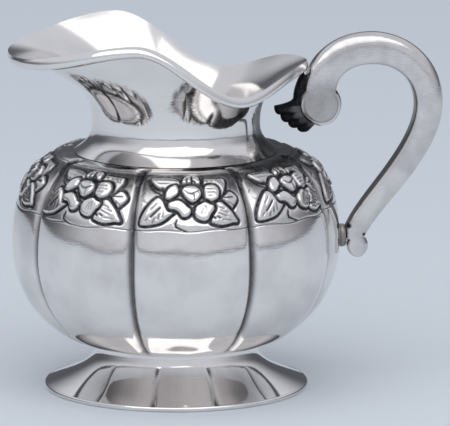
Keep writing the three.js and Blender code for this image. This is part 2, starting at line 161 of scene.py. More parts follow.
class CreamerFootSizes(bpy.types.PropertyGroup):
    """Sizes of the flared foot and the wire round its edge."""

    rim_radius: length("Rim radius", "Radius of the wire the creamer stands on", FOOT_RADIUS)
    rim_height: length("Rim height", "Height of the wire", 1.4)
    rim_width: length("Rim width", "Width of the wire", 3.0)
    rim_edge: length("Rim edge", "Rounding of the wire's outer edge", 0.6)
    setback: length("Setback", "From the wire's edge to the flare", 0.5)
    seat_width: length("Seat width", "Width of the flare's seat on the wire", 2.4)
    collar_run: length("Collar run", "Upright lead of the flare under the bowl", 6.0)
    flare_run: length("Flare run", "Flat lead of the flare at the wire", 7.0)
    flare_rise: length("Flare rise", "Rise of that lead", 2.7)
    top_radius: length("Top radius", "Radius of the collar under the bowl", 22.2)
    wall: length("Wall", "Thickness of the sheet", 0.8)


class CreamerHandleSizes(bpy.types.PropertyGroup):
    """Sizes of the scroll handle, its seat and its leaf."""

    volute_radius: length("Volute radius", "Radius of the upper scroll", 5.9)
    volute_x: length("Volute place", "From the axis to the upper scroll", 39.7)
    volute_height: length("Volute height", "Height of the upper scroll", 78.1)
    neck_lean: length("Neck lean", "Lean of the arm where it leaves the scroll", 1.3)
    neck_rise: length("Neck rise", "Upright run of the arm there", 9.4)
    top_x: length("Top place", "From the axis to the top of the arm", 53.9)
    top_height: length("Top height", "Height of the arm's middle line at its top", 93.4)
    top_run: length("Top run", "Fullness of the arm's top", 9.2)
    side_x: length("Side place", "From the axis to the arm's outer side", 70.0)
    side_height: length("Side height", "Height of the arm's outer side", 77.6)
    side_run: length("Side run", "Fullness of the arm's shoulder", 8.9)
    tail_run: length("Tail run", "Fullness of the arm's tail", 14.6)
    end_x: length("End place", "From the axis to the arm's lower end", 49.15)
    end_height: length("End height", "Height of the arm's lower end", 40.0)
    end_lean: length("End lean", "Lean of the arm's lower end", 1.1)
    end_rise: length("End rise", "Upright run of the arm's lower end", 8.4)
    scroll_x: length("Scroll place", "From the axis to the lower scroll", 50.25)
    scroll_height: length("Scroll height", "Height of the lower scroll", 38.2)
    scroll_radius: length("Scroll radius", "Radius of the lower scroll", 3.05)
    top_width: length("Top width", "Width of the arm at its top, seen from the side", 8.8)
    end_width: length("End width", "Width of the arm at its end", 6.0)
    top_thickness: length("Top thickness", "Thickness of the arm at its top", 7.2)
    end_thickness: length("End thickness", "Thickness of the arm at its end", 5.6)
    taper_start: share("Taper start", "Share of the arm before it tapers", 0.27)
    back_squareness: share("Back squareness", "Roundness of the arm's back", 2.5)
    face_squareness: share("Face squareness", "Flatness of the arm's inner side", 6.0)
    seat_x: length("Seat place", "From the axis to the seat's outer face", 47.05)
    seat_thickness: length("Seat thickness", "Thickness of the seat against the belly", 1.5)
    seat_half_height: length("Seat half height", "Half the height of the seat", 3.2)
    seat_half_width: length("Seat half width", "Half the width of the seat", 2.6)
    seat_height: length("Seat height", "Height of the seat's middle", 41.0)
    leaf_thickness: length("Leaf thickness", "Thickness of the cast leaf", 5.6)


class CreamerFinish(bpy.types.PropertyGroup):
    """Colours of the silver and of the stage."""

    silver: colour("Silver", "Polished silver", 0.84, 0.815, 0.795)
    # the worn colour also stands for painted shade on the handle's seat
    worn: colour("Worn silver", "Silver dulled by handling", 0.69, 0.66, 0.65)
    cast: colour("Cast silver", "Dull skin of the cast leaf", 0.30, 0.30, 0.31)
    # the dark colour serves the oxide in the chased lines and also the painted shade by the handle, in
    # its corners, inside its loop and on its seat
    oxide_and_shade: colour("Oxide_and_shade", "Dark oxide in the chased lines", 0.028, 0.028, 0.032)
    floor: colour("Floor", "Pale table top", 0.72, 0.765, 0.805)
    tent: colour("Light tent", "Cloth of the light tent in front and overhead", 0.67, 0.695, 0.755)
    room: colour("Room", "Dim room behind the table", 0.10, 0.105, 0.12)
    gap: colour("Gap", "What shows past the edge of the table", 0.26, 0.27, 0.30)


def values_of(group):
    """The settings of a group, with lengths turned into millimetres."""
    found = {}
    for key, prop in group.bl_rna.properties.items():
        if key in ("rna_type", "name"):
            continue
        value = getattr(group, key)
        found[key] = value / MM if getattr(prop, "unit", "NONE") == "LENGTH" else value
    return SimpleNamespace(**found)


# Curves

def ease(values, low, high):
    """0 below low, 1 above high, and the cubic 3t^2 - 2t^3 between them."""
    t = np.clip((values - low) / (high - low), 0.0, 1.0)
    return t * t * (3.0 - 2.0 * t)


def fade(values, low, high):
    """1 below low and 0 above high, the other way round from ease."""
    return 1.0 - ease(values, low, high)


def between(first, second, part):
    """The first value passing into the second as the part goes from 0 to 1."""
    return first + (second - first) * part


def bell(distance, width):
    """Gaussian: 1 at no distance and exp(-1) at the width."""
    return np.exp(-((distance / width) ** 2))


def bezier(points, t):
    """Cubic Bezier: its four points weighted by the Bernstein polynomials at t."""
    a, b, c, d = (np.asarray(p, float) for p in points)
    t = np.asarray(t, float)[..., None]
    s = 1.0 - t
    return s**3 * a + 3.0 * s * s * t * b + 3.0 * s * t * t * c + t**3 * d


def super_ellipse(turn, half_length, half_width, squareness):
    """x = length |cos|^(2/n), y = width |sin|^(2/n) with the signs kept; n = 2 is an ellipse."""
    power = 2.0 / squareness
    x = np.sign(np.cos(turn)) * half_length * np.abs(np.cos(turn)) ** power
    y = np.sign(np.sin(turn)) * half_width * np.abs(np.sin(turn)) ** power
    return x, y


def round_axis(radius, turns, height):
    """Points at a radius and a height, carried round the axis by their turns."""
    return np.stack([radius * np.cos(turns), radius * np.sin(turns), height + 0.0 * turns], -1)


def lathe(profile, turns):
    """Rings of points: each (radius, height) of the profile carried round the axis."""
    return [round_axis(r, turns, z) for r, z in profile]


def run_lengths(points):
    """Distance along a row of points from its first one."""
    return np.r_[0.0, np.cumsum(np.linalg.norm(np.diff(points, axis=0), axis=1))]


HAMMER_WAVES = 9


def hammer_waves(seed, turns, along):
    """Unevenness left by the hammer: a sum of sine waves round and up the piece, each from -1 to 1."""
    rng = np.random.default_rng(seed)
    total = 0.0
    for _ in range(HAMMER_WAVES):
        round_waves, up_waves = rng.integers(4, 24), rng.uniform(-0.4, 0.4)
        phase = rng.uniform(0, FULL_TURN)
        total = total + np.sin(round_waves * turns + up_waves * along + phase)
    return total


def side_step(profile, distance):
    """A profile moved by a distance to the left of its direction of travel."""
    along = np.gradient(profile, axis=0)
    along /= np.linalg.norm(along, axis=1)[:, None]
    return profile + distance * np.stack([-along[:, 1], along[:, 0]], -1)


# Meshes

def ring_faces(start_a, count_a, start_b, count_b):
    """Faces between two rings: quads for like counts, five-sided for one to two, fans at poles."""
    j = np.arange(min(count_a, count_b) if 1 not in (count_a, count_b) else max(count_a, count_b))
    if count_a == 1:
        return np.stack([np.full_like(j, start_a), start_b + (j + 1) % count_b, start_b + j], -1)
    if count_b == 1:
        return np.stack([start_a + j, start_a + (j + 1) % count_a, np.full_like(j, start_b)], -1)
    if count_a == count_b:
        k = (j + 1) % count_a
        return np.stack([start_a + j, start_a + k, start_b + k, start_b + j], -1)
    if count_b == 2 * count_a:
        next_a, next_b = start_a + (j + 1) % count_a, start_b + (2 * j + 2) % count_b
        return np.stack([start_a + j, next_a, next_b, start_b + 2 * j + 1, start_b + 2 * j], -1)
    next_a, next_b = start_a + (2 * j + 2) % count_a, start_b + (j + 1) % count_b
    return np.stack([start_a + 2 * j, start_a + 2 * j + 1, next_a, next_b, start_b + j], -1)


def skin_rings(rings, closed=False):
    """One skin through rings of points; closed joins the last ring to the first."""
    counts = [len(r) for r in rings]
    starts = np.r_[0, np.cumsum(counts)]
    pairs = list(zip(range(len(rings) - 1), range(1, len(rings))))
    if closed:
        pairs.append((len(rings) - 1, 0))
    groups = [ring_faces(starts[a], counts[a], starts[b], counts[b]) for a, b in pairs]
    return np.concatenate(rings), groups


def outward(points, groups):
    """The faces turned so that the closed skin has a positive volume."""
    volume = 0.0
    for faces in groups:
        first = points[faces[:, 0]]
        for k in range(1, faces.shape[1] - 1):
            volume += np.einsum(
                "ij,ij->", first, np.cross(points[faces[:, k]], points[faces[:, k + 1]])
            )
    return groups if volume > 0 else [g[:, ::-1] for g in groups]


def add_piece(name, skin, node, material, masks=None, crease=None):
    """Makes a mesh piece, in the part's frame, that stands for a node of the frame."""
    points, groups = skin
    groups = outward(points, groups)
    mesh = bpy.data.meshes.new(name)
    mesh.vertices.add(len(points))
    mesh.vertices.foreach_set("co", (points * MM + AXIS).astype(np.float32).ravel())
    corners = np.concatenate([g.ravel() for g in groups]).astype(np.int32)
    sizes = np.concatenate([np.full(len(g), g.shape[1]) for g in groups])
    mesh.loops.add(len(corners))
    mesh.loops.foreach_set("vertex_index", corners)
    mesh.polygons.add(len(sizes))
    mesh.polygons.foreach_set("loop_start", np.r_[0, np.cumsum(sizes)[:-1]].astype(np.int32))
    mesh.polygons.foreach_set("use_smooth", np.ones(len(sizes), bool))
    mesh.update(calc_edges=True)
    if mesh.validate():
        raise RuntimeError(f"{name}: the surface has faulty faces")
    if crease is not None:
        mesh.set_sharp_from_angle(angle=crease)
    for key, values in (masks or {}).items():
        layer = mesh.attributes.new(key, "FLOAT", "POINT")
        layer.data.foreach_set("value", np.asarray(values, np.float32))
    mesh.materials.append(material)
    piece = bpy.data.objects.new(name, mesh)
    bpy.context.scene.collection.objects.link(piece)
    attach(piece, "root")
    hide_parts(node)
    return piece


# Chasing of one flower panel, in millimetres across the lobe and up from the belly

SPAN_POINTS = 5


def closed_curve(corners):
    """Closed Catmull-Rom curve through the corners, with the same number of points to each span."""
    p = np.asarray(corners, float)
    t = np.linspace(0.0, 1.0, SPAN_POINTS, endpoint=False)[None, :, None]
    a, b, c, d = (np.roll(p, k, axis=0)[:, None, :] for k in (1, 0, -1, -2))
    bend = 2.0 * a - 5.0 * b + 4.0 * c - d + t * (3.0 * (b - c) + d - a)
    return (b + 0.5 * t * (c - a + t * bend)).reshape(-1, 2)


def from_segment(u, v, start, run):
    """Share of a segment at which a place is nearest to it, and the distance there."""
    reach = run[0] ** 2 + run[1] ** 2
    t = np.clip(((u - start[0]) * run[0] + (v - start[1]) * run[1]) / reach, 0.0, 1.0)
    return t, np.hypot(u - start[0] - t * run[0], v - start[1] - t * run[1])


def depth_inside(u, v, corners):
    """Distance to the nearest side of a closed outline, counted as positive inside it."""
    ends = closed_curve(corners)
    nearest = np.full(np.broadcast_shapes(u.shape, v.shape), np.inf)
    inside = np.zeros(nearest.shape, bool)
    for start, end in zip(ends, np.roll(ends, -1, axis=0)):
        run = end - start
        nearest = np.minimum(nearest, from_segment(u, v, start, run)[1])
        crosses = (start[1] > v) != (end[1] > v)
        inside ^= crosses & (u < start[0] + (v - start[1]) * run[0] / (run[1] or 1e-9))
    return np.where(inside, nearest, -nearest)


def stroke(u, v, nodes):
    """A chased stroke: 1 on the line through (across, up, half width) nodes, a Gaussian beside it."""
    mark = 0.0
    for start, end in zip(nodes[:-1], nodes[1:]):
        run = np.subtract(end, start)
        t, away = from_segment(u, v, start, run)
        mark = np.maximum(mark, bell(away, start[2] + t * run[2]))
    return mark


# level, dome, rounding, shade, corners: leaves behind, leaves in front, bud, petals, heart
FORMS = (
    (0.05, 0.2, 0.8, 0.24, (
        (-13.7, 26.7), (-11.7, 27.4), (-8.4, 27.6), (-5.2, 27.2), (-3.1, 25.9), (-3.9, 24.4),
        (-6.2, 24.1), (-8.1, 23.0), (-8.9, 23.5), (-10.1, 23.3), (-11.9, 24.3),
    )),
    (0.05, 0.2, 0.8, 0.24, (
        (5.2, 27.0), (7.7, 27.0), (10.3, 26.8), (12.5, 26.3), (12.3, 24.2), (11.4, 22.2),
        (9.9, 20.8), (10.0, 22.4), (8.9, 24.2), (7.0, 24.9), (4.8, 24.5),
    )),
    (0.1, 0.3, 0.9, 0.04, (
        (-15.4, 12.5), (-14.9, 14.6), (-13.6, 17.0), (-11.9, 19.1), (-10.4, 20.3), (-9.5, 20.2),
        (-8.5, 19.3), (-7.8, 17.8), (-6.9, 16.6), (-5.3, 16.0), (-6.0, 15.4), (-7.7, 14.0),
        (-9.4, 13.0), (-11.7, 12.4), (-14.1, 12.1),
    )),
    (0.1, 0.3, 0.8, 0.04, (
        (9.9, 19.7), (11.1, 20.8), (12.6, 21.6), (14.0, 20.9), (15.0, 19.5), (14.7, 18.5),
        (13.3, 17.2), (12.4, 16.6), (11.4, 17.8), (10.4, 18.9),
    )),
    (0.1, 0.3, 0.9, 0.06, (
        (7.2, 18.4), (8.9, 18.9), (10.6, 17.6), (12.0, 16.1), (12.9, 14.6), (13.9, 12.6),
        (12.1, 12.6), (10.1, 12.2), (8.3, 12.1), (6.5, 12.6), (5.5, 13.2), (5.8, 14.7),
        (6.9, 16.0), (7.7, 17.4),
    )),
    (0.15, 0.3, 0.8, 0.08, (
        (-2.5, 25.1), (-2.6, 26.3), (-1.3, 27.8), (1.0, 28.5), (3.1, 27.9), (3.7, 26.6),
        (3.3, 24.8), (1.8, 25.0), (-0.1, 25.3), (-1.5, 25.0),
    )),
    (0.2, 0.35, 1.0, 0.0, (
        (-8.1, 20.6), (-7.7, 22.6), (-6.2, 24.1), (-4.5, 24.5), (-3.8, 23.3), (-3.8, 21.8),
        (-4.7, 20.9), (-6.4, 19.9), (-7.8, 20.0),
    )),
    (0.2, 0.35, 1.2, 0.0, (
        (-7.1, 18.6), (-6.1, 19.2), (-4.2, 19.7), (-3.0, 19.4), (-1.9, 18.6), (-1.0, 17.7),
        (-0.3, 17.2), (-0.2, 16.0), (-1.1, 15.0), (-2.3, 14.7), (-3.1, 15.1), (-3.8, 16.1),
        (-4.9, 16.8), (-6.2, 16.9), (-6.9, 17.4),
    )),
    (0.2, 0.35, 1.0, 0.0, (
        (4.4, 23.1), (5.1, 24.1), (6.9, 24.4), (8.5, 23.9), (9.3, 22.4), (9.2, 21.0), (8.5, 19.8),
        (7.0, 19.2), (5.4, 19.0), (4.4, 19.6), (4.3, 20.8),
    )),
    (0.2, 0.35, 1.2, 0.0, (
        (1.3, 17.7), (2.6, 18.5), (4.2, 19.1), (5.7, 18.4), (6.8, 17.9), (6.8, 16.6), (5.7, 15.4),
        (5.0, 14.2), (4.0, 13.6), (2.5, 13.8), (1.3, 14.5), (0.8, 15.7),
    )),
    (0.3, 0.45, 1.5, 0.0, (
        (-2.8, 22.6), (-2.1, 23.6), (-0.3, 24.1), (1.7, 23.8), (3.0, 22.9), (3.3, 21.5),
        (2.8, 20.3), (1.6, 19.3), (0.5, 18.9), (-0.5, 19.2), (-1.7, 20.2), (-2.5, 21.3),
    )),
)
# darkness, then (across, up, half width) nodes
STROKES = (
    (0.8, (
        (-14.0, 26.5, 0.85), (-13.4, 24.7, 0.75), (-12.6, 23.3, 0.55), (-11.3, 22.2, 0.45),
        (-9.9, 21.7, 0.4), (-9.3, 21.0, 0.42), (-8.6, 21.6, 0.42), (-8.5, 22.5, 0.42), (-9.4, 23.2, 0.35),
    )),
    (0.75, ((12.6, 26.2, 0.55), (12.7, 24.2, 0.6), (11.6, 21.9, 0.6), (10.2, 20.4, 0.45))),
    (0.65, ((-2.1, 22.4, 0.2), (-1.0, 21.6, 0.27), (0.0, 21.3, 0.3), (0.9, 21.5, 0.3), (2.6, 22.3, 0.2))),
    (0.6, ((1.0, 21.3, 0.27), (1.0, 19.6, 0.24))),
    (0.8, ((-0.8, 26.8, 0.25), (-1.0, 25.5, 0.33))),
    (0.9, ((0.8, 27.4, 0.35), (0.7, 25.4, 0.45))),
    (0.9, ((1.0, 26.2, 0.25), (1.8, 25.4, 0.35))),
    (0.75, ((-12.1, 14.6, 0.32), (-9.4, 17.2, 0.3))),
    (0.6, ((-9.9, 14.0, 0.25), (-9.5, 15.4, 0.2))),
    (0.55, ((-11.4, 13.1, 0.25), (-10.9, 14.2, 0.2))),
    (0.55, ((-8.6, 14.5, 0.25), (-8.2, 16.6, 0.2))),
    (0.5, ((-13.7, 13.3, 0.22), (-12.9, 14.2, 0.2))),
    (0.5, ((-12.2, 16.6, 0.2), (-10.4, 18.5, 0.22))),
    (0.7, ((10.5, 19.8, 0.3), (13.4, 19.7, 0.25))),
    (0.3, ((11.3, 20.4, 0.2), (12.3, 20.6, 0.2))),
    (0.55, ((11.5, 18.4, 0.2), (13.0, 17.4, 0.25))),
    (0.85, ((6.3, 14.6, 0.32), (6.8, 14.1, 0.32))),
    (0.75, ((7.5, 14.6, 0.26), (8.3, 14.1, 0.26))),
    (0.55, ((7.7, 15.6, 0.22), (10.4, 14.5, 0.2))),
    (0.55, ((8.1, 17.1, 0.22), (9.8, 16.5, 0.2))),
    (0.5, ((8.4, 16.3, 0.2), (10.9, 15.4, 0.2))),
    (0.5, ((9.0, 13.6, 0.2), (11.6, 13.4, 0.2))),
    (0.45, ((5.0, 22.9, 0.22), (7.3, 22.8, 0.22))),
    (0.45, ((4.8, 21.8, 0.22), (7.7, 21.7, 0.22))),
    (0.4, ((4.9, 20.8, 0.2), (6.7, 20.8, 0.2))),
    (0.4, ((2.9, 15.4, 0.2), (3.7, 17.6, 0.2))),
    (0.4, ((3.8, 15.4, 0.2), (4.2, 17.6, 0.2))),
    (0.4, ((4.7, 15.6, 0.2), (4.6, 17.6, 0.2))),
    (0.8, (
        (-4.3, 14.0, 0.2), (-4.8, 12.8, 0.35), (-4.6, 12.0, 0.38), (-3.2, 11.4, 0.3), (-1.5, 10.8, 0.2),
    )),
    (0.6, ((-16.0, 20.4, 0.3), (-15.0, 21.5, 0.25))),
    (0.35, ((-15.3, 19.1, 0.25), (-13.9, 18.4, 0.25))),
    (0.5, ((-12.5, 26.6, 0.25), (-8.0, 26.9, 0.3), (-4.0, 26.0, 0.4))),
    (0.4, ((-10.5, 25.2, 0.25), (-5.0, 25.3, 0.25))),
    (0.6, ((5.9, 26.0, 0.3), (6.2, 25.8, 0.3))),
    (0.6, ((7.5, 25.8, 0.3), (7.8, 25.6, 0.3))),
    (0.5, ((9.4, 26.3, 0.2), (10.4, 24.6, 0.25))),
    (0.5, ((10.6, 26.0, 0.2), (11.4, 24.0, 0.25))),
)
# chased lines stay clear of the inner face of the sheet
DEEPEST_CUT = -0.5
# first and last place of a row of short teeth, and their number
TEETH = (
    ((5.6, 12.8), (8.6, 11.9), 5), ((9.3, 11.9), (13.6, 12.3), 7), ((5.2, 27.2), (12.4, 26.6), 10),
)
# a form's soft edge, and the moat round it: how far out, half width, depth and oxide
FORM_EDGE = (-0.12, 0.14)
MOAT_OUT, MOAT_WIDTH, MOAT_DEPTH, MOAT_OXIDE = 0.35, 0.47, 0.34, 0.95
# the sunk ground: its depth and where it sinks, its oxide, where it darkens and by how much
GROUND_DEPTH, GROUND_SINKS = 0.15, (12.0, 15.0)
GROUND_OXIDE, GROUND_DARKENS, GROUND_DARKER = 0.08, (16.5, 24.5), 0.5
STROKE_DEPTH = 0.3
# darkness of a tooth, and its two ends as (up, half width)
TOOTH_DARK, TOOTH_ENDS = 0.8, ((0.2, 0.26), (-0.25, 0.2))
# lower line, upper line and bead of the band: height, half width, rise, oxide, share of the wave
BORDERS = ((10.8, 0.24, -0.16, 0.55, 1.0), (29.9, 0.3, -0.22, 0.5, 0.5), (29.0, 0.5, 0.16, 0.0, 0.5))
# where the panels begin and end, up the band and across the lobe
PANEL_FOOT, PANEL_TOP, PANEL_SIDE = (9.4, 10.4), (28.6, 29.4), (15.8, 16.8)
# how far the hand strays: a panel's slide across, share of that up, its size, the borders' wave
PANEL_SLIDE, PANEL_LIFT, PANEL_SIZES, BORDER_WAVE = 0.3, 0.6, (0.97, 1.03), 0.22
CHASING_SEED = 11


def lay_on(height, oxide_and_shade, depth, form):
    """Lays a flat-topped form over what is there, with a dark moat round it."""
    level, dome, rounding, shade = form
    inside = ease(depth, *FORM_EDGE)
    swell = np.sqrt(1.0 - (1.0 - np.clip(depth / rounding, 0.0, 1.0)) ** 2)
    moat = bell(depth + MOAT_OUT, MOAT_WIDTH)
    height = height * (1.0 - inside) + (level + dome * swell) * inside - MOAT_DEPTH * moat
    return height, np.maximum(oxide_and_shade * (1.0 - inside) + shade * inside, MOAT_OXIDE * moat)


def flower_panel(u, v):
    """Relief in millimetres and oxide from 0 to 1: forms laid on in turn, then the strokes."""
    height = -GROUND_DEPTH * ease(v, *GROUND_SINKS) + 0.0 * u
    oxide_and_shade = GROUND_OXIDE + GROUND_DARKER * ease(v, *GROUND_DARKENS) + 0.0 * height
    for *form, corners in FORMS:
        height, oxide_and_shade = lay_on(height, oxide_and_shade, depth_inside(u, v, corners), form)
    rows = list(STROKES)
    for start, end, count in TEETH:
        for x, y in np.linspace(start, end, count):
            rows.append((TOOTH_DARK, [(x, y + up, width) for up, width in TOOTH_ENDS]))
    for dark, nodes in rows:
        mark = stroke(u, v, nodes)
        height = height - STROKE_DEPTH * dark * mark
        oxide_and_shade = np.maximum(oxide_and_shade, dark * mark)
    return np.maximum(height, DEEPEST_CUT), oxide_and_shade


def chased_band(lobes, across, along, panel):
    """Relief and oxide of the whole band: flower panels, each a little moved, between border lines."""
    rng = np.random.default_rng(CHASING_SEED)
    slide, lift = rng.uniform(-PANEL_SLIDE, PANEL_SLIDE, (2, lobes))
    grow = rng.uniform(*PANEL_SIZES, lobes)
    u, v = (across - slide[panel]) * grow[panel], along - PANEL_LIFT * lift[panel]
    height, oxide_and_shade = flower_panel(u, v)
    within = ease(along, *PANEL_FOOT) * fade(along, *PANEL_TOP)
    within = within * fade(np.abs(across), *PANEL_SIDE)
    height, oxide_and_shade = height * within, oxide_and_shade * within
    wave = BORDER_WAVE * np.sin(0.45 * across + 1.9 * panel)
    for up, width, rise, dark, waving in BORDERS:
        line = bell(along - up - waving * wave, width)
        height = height + rise * line
        oxide_and_shade = np.maximum(oxide_and_shade, dark * line)
    return height, oxide_and_shade


# Bowl

BAND_LOW, BAND_HIGH, BAND_GAP = 9.0, 31.2, 0.3
BAND_ROWS, LOWER_ROWS, TOP_ROWS, INNER_ROWS = 84, 36, 6, 18
COLUMNS_PER_LOBE = 112
COLUMN_CROWDING = 0.12
BOWL_SEED = 5
# the groove: how far from the profile's ends it begins and ends
GROOVE_BEGINS, GROOVE_ENDS = (1.0, 5.0), (-3.0, -1.0)
# stretches of the way up from the belly where the groove widens and turns shallow, and how much
GROOVE_WIDENS, GROOVE_SHALLOWS = (-16.0, 4.0), (17.0, 27.0)
GROOVE_WIDER, GROOVE_WIDER_YET, GROOVE_SHALLOWER = 0.3, 0.2, 0.35
# oxide of the groove below and above, then the stretches, half width and oxide of its dark end
GROOVE_OXIDE = (0.57, 0.84)
GROOVE_END_DARKENS, GROOVE_END_CLEARS = (22.0, 25.5), (29.8, 31.2)
GROOVE_END_WIDTH, GROOVE_END_OXIDE = 1.6, 0.85
# the dark shoulder, painted shade with some oxide that grows toward the handle side: stretch of the way
# up, cosines of the turn, darkness away from and by the handle
SHOULDER_DARKENS, TOWARD_HANDLE, SHOULDER_SHADE_AND_OXIDE = (25.0, 29.5), (0.3, 0.62), (0.1, 0.82)
# half width of the groove as the inner face shows it, and the share of its depth
INNER_GROOVE_WIDTH, INNER_GROOVE_SHARE = 2.6, 0.8


def bowl_profile(b):
    """Two Bezier arcs, base to belly to mouth, as (radius, height), with the way up from the belly."""
    t = np.linspace(0.0, 1.0, 600)
    lower = bezier((
        (b.base_radius, b.seat_height),
        (b.base_radius + b.base_spread, b.seat_height + b.base_lift),
        (b.belly_radius, b.belly_height - b.side_drop),
        (b.belly_radius, b.belly_height),
    ), t)
    upper = bezier((
        (b.belly_radius, b.belly_height),
        (b.belly_radius, b.belly_height + b.side_rise),
        (b.mouth_radius + b.shoulder_spread, b.shoulder_height),
        (b.mouth_radius, b.shoulder_height),
    ), t)
    profile = np.concatenate([lower, upper[1:]])
    run = run_lengths(profile)
    return profile, run - run[len(t) - 1]


def lobe_place(b, turns):
    """Angle from the nearest lobe's crest, and that lobe's number."""
    lobe = FULL_TURN / b.lobes
    off = (turns + lobe / 2) % lobe - lobe / 2
    return off, np.floor((turns + lobe / 2) / lobe).astype(int) % b.lobes


def shoulder_fade(b, height):
    """1 on the bowl's side, falling to 0 where the lobes end at the shoulder."""
    return fade(height, b.shoulder_height - b.lobe_run_out, b.shoulder_height)


def lobe_fall(b, off, height):
    """How far the sheet falls in beside a crest: depth times (2 off / lobe)^2, faded at both ends."""
    run_in = ease(height, b.seat_height, b.seat_height + b.lobe_run_in)
    lobe = FULL_TURN / b.lobes
    return b.lobe_depth * (2.0 * off / lobe) ** 2 * run_in * shoulder_fade(b, height)


def to_groove(b, off, radius):
    """Distance to the nearest groove, measured round the bowl."""
    return (math.pi / b.lobes - np.abs(off)) * radius


def bowl_surface(b, turns, along, chased):
    """Rows of outer points and their oxide, with painted shade on the shoulder's handle side: the profile
    let in by lobes, grooves and chasing.

    The lobes let the radius in; the groove, a Gaussian channel, the chased relief and the hammer's
    waves stand along the profile's normal.
    """
    profile, run = bowl_profile(b)
    slope = np.gradient(profile, run, axis=0)
    radius, height, lean_z, lean_r = (
        np.interp(along, run, column)[:, None] for column in (*profile.T, *slope.T)
    )
    along = along[:, None]
    off, panel = lobe_place(b, turns)
    from_groove = to_groove(b, off, radius)
    high_up = ease(along, *GROOVE_SHALLOWS)
    wider = 1.0 + GROOVE_WIDER * ease(along, *GROOVE_WIDENS) + GROOVE_WIDER_YET * high_up
    channel = bell(from_groove, b.groove_width * wider)
    channel = channel * ease(along - run[0], *GROOVE_BEGINS) * fade(along - run[-1], *GROOVE_ENDS)
    rise = -b.groove_depth * (1.0 - GROOVE_SHALLOWER * high_up) * channel
    oxide_and_shade = between(*GROOVE_OXIDE, high_up) * channel
    groove_end = ease(along, *GROOVE_END_DARKENS) * fade(along, *GROOVE_END_CLEARS)
    groove_end = groove_end * np.exp(-((from_groove / GROOVE_END_WIDTH) ** 4))
    # painted shade: the upper shoulder is laid dark toward the handle, a dark reflection painted into the
    # colour
    handle_side_shade = between(*SHOULDER_SHADE_AND_OXIDE, ease(np.cos(turns), *TOWARD_HANDLE))
    oxide_and_shade = np.maximum(oxide_and_shade, GROOVE_END_OXIDE * groove_end)
    oxide_and_shade = np.maximum(oxide_and_shade, ease(along, *SHOULDER_DARKENS) * handle_side_shade)
    if chased:
        relief, dark = chased_band(b.lobes, off * b.belly_radius, along, panel)
        rise = rise + b.relief * relief
        oxide_and_shade = np.maximum(oxide_and_shade, dark)
    rise = rise + b.hand_wave * (hammer_waves(BOWL_SEED, turns, along) - HAMMER_WAVES)
    out = radius - lobe_fall(b, off, height) + rise * lean_r
    points = round_axis(out, turns, height - rise * lean_z)
    return points, np.broadcast_to(oxide_and_shade, points.shape[:2])


def bowl_inner_rings(b, turns):
    """Rings of the inner face: the profile moved in by the wall, with the lobes and the grooves."""
    profile, _ = bowl_profile(b)
    step = len(profile) // INNER_ROWS
    plain = side_step(profile, b.wall)[::step][::-1]
    under_groove = side_step(profile, b.wall + INNER_GROOVE_SHARE * b.groove_depth)[::step][::-1]
    kept = (plain[:, 0] > b.mouth_radius - b.mouth_width) | (plain[:, 1] < b.belly_height)
    off, _ = lobe_place(b, turns)
    rings = []
    for (r, z), (groove_r, groove_z) in zip(plain[kept], under_groove[kept]):
        groove = shoulder_fade(b, z) * bell(to_groove(b, off, r), INNER_GROOVE_WIDTH)
        radius = between(r, groove_r, groove) - lobe_fall(b, off, z)
        rings.append(round_axis(radius, turns, between(z, groove_z, groove)))
    return rings


def bowl_skin(b):
    """The bowl's closed skin, finer in the chased band, with its oxide and painted shade and its satin
    inner face.
    """
    columns = COLUMNS_PER_LOBE * b.lobes
    turns = np.arange(columns) * FULL_TURN / columns
    turns = turns + COLUMN_CROWDING * np.sin(b.lobes * turns) / b.lobes
    _, run = bowl_profile(b)
    rings, oxide_and_shade = [np.array([[0.0, 0.0, b.seat_height]])], [np.zeros(1)]
    for every, start, end, rows, chased in (
        (2, run[0], BAND_LOW - BAND_GAP, LOWER_ROWS, False),
        (1, BAND_LOW, BAND_HIGH, BAND_ROWS, True),
        (2, BAND_HIGH + BAND_GAP, run[-1], TOP_ROWS, False),
    ):
        points, dark = bowl_surface(b, turns[::every], np.linspace(start, end, rows), chased)
        rings += list(points)
        oxide_and_shade.append(dark.ravel())
    mouth = b.mouth_radius - b.mouth_width
    inside = lathe([(mouth, b.shoulder_height)], turns[::2])
    inside += lathe([(mouth, b.shoulder_height - b.wall)], turns[::4])
    inside += bowl_inner_rings(b, turns[::8])
    inside.append(np.array([[0.0, 0.0, b.seat_height + b.wall]]))
    outer_count, inner_count = sum(map(len, rings)), sum(map(len, inside))
    satin = np.repeat((0.0, 1.0), (outer_count, inner_count))
    return skin_rings(rings + inside), {
        "oxide_and_shade": np.concatenate([*oxide_and_shade, np.zeros(inner_count)]), "satin": satin,
    }


# Neck and lip

NECK_COLUMNS, FILLET_ROWS, FLARE_ROWS, LIP_ROWS = 288, 16, 44, 18
NECK_CROWDING = 0.18
NECK_SEED = 8
# the painted shade and tarnish by the handle, a dark reflection painted on that side of the neck, and the
# satin of the collar, and the heights where they end
NECK_SHADE_AND_TARNISH, SHADE_AND_TARNISH_ENDS, COLLAR_SATIN, SATIN_ENDS = 0.62, (80.0, 87.0), 0.6, (70.0, 76.0)
# cosines of the turn by the handle
BY_HANDLE = (0.8, 0.96)
# heights where the hammer's waves begin, and shares of the flare where they end
NECK_WAVES_BEGIN, NECK_WAVES_END = (66.3, 68.0), (0.45, 0.85)
# how deep the moulding is let into the sheet
LIP_LET_IN = 0.25


def hermite(x, start, end):
    """Cubic from one (place, height, slope) to another."""
    run = end[0] - start[0]
    t = np.clip((x - start[0]) / run, 0.0, 1.0)
    rise = start[1] + (end[1] - start[1]) * t * t * (3.0 - 2.0 * t)
    return rise + t * (1.0 - t) ** 2 * run * start[2] - t * t * (1.0 - t) * run * end[2]


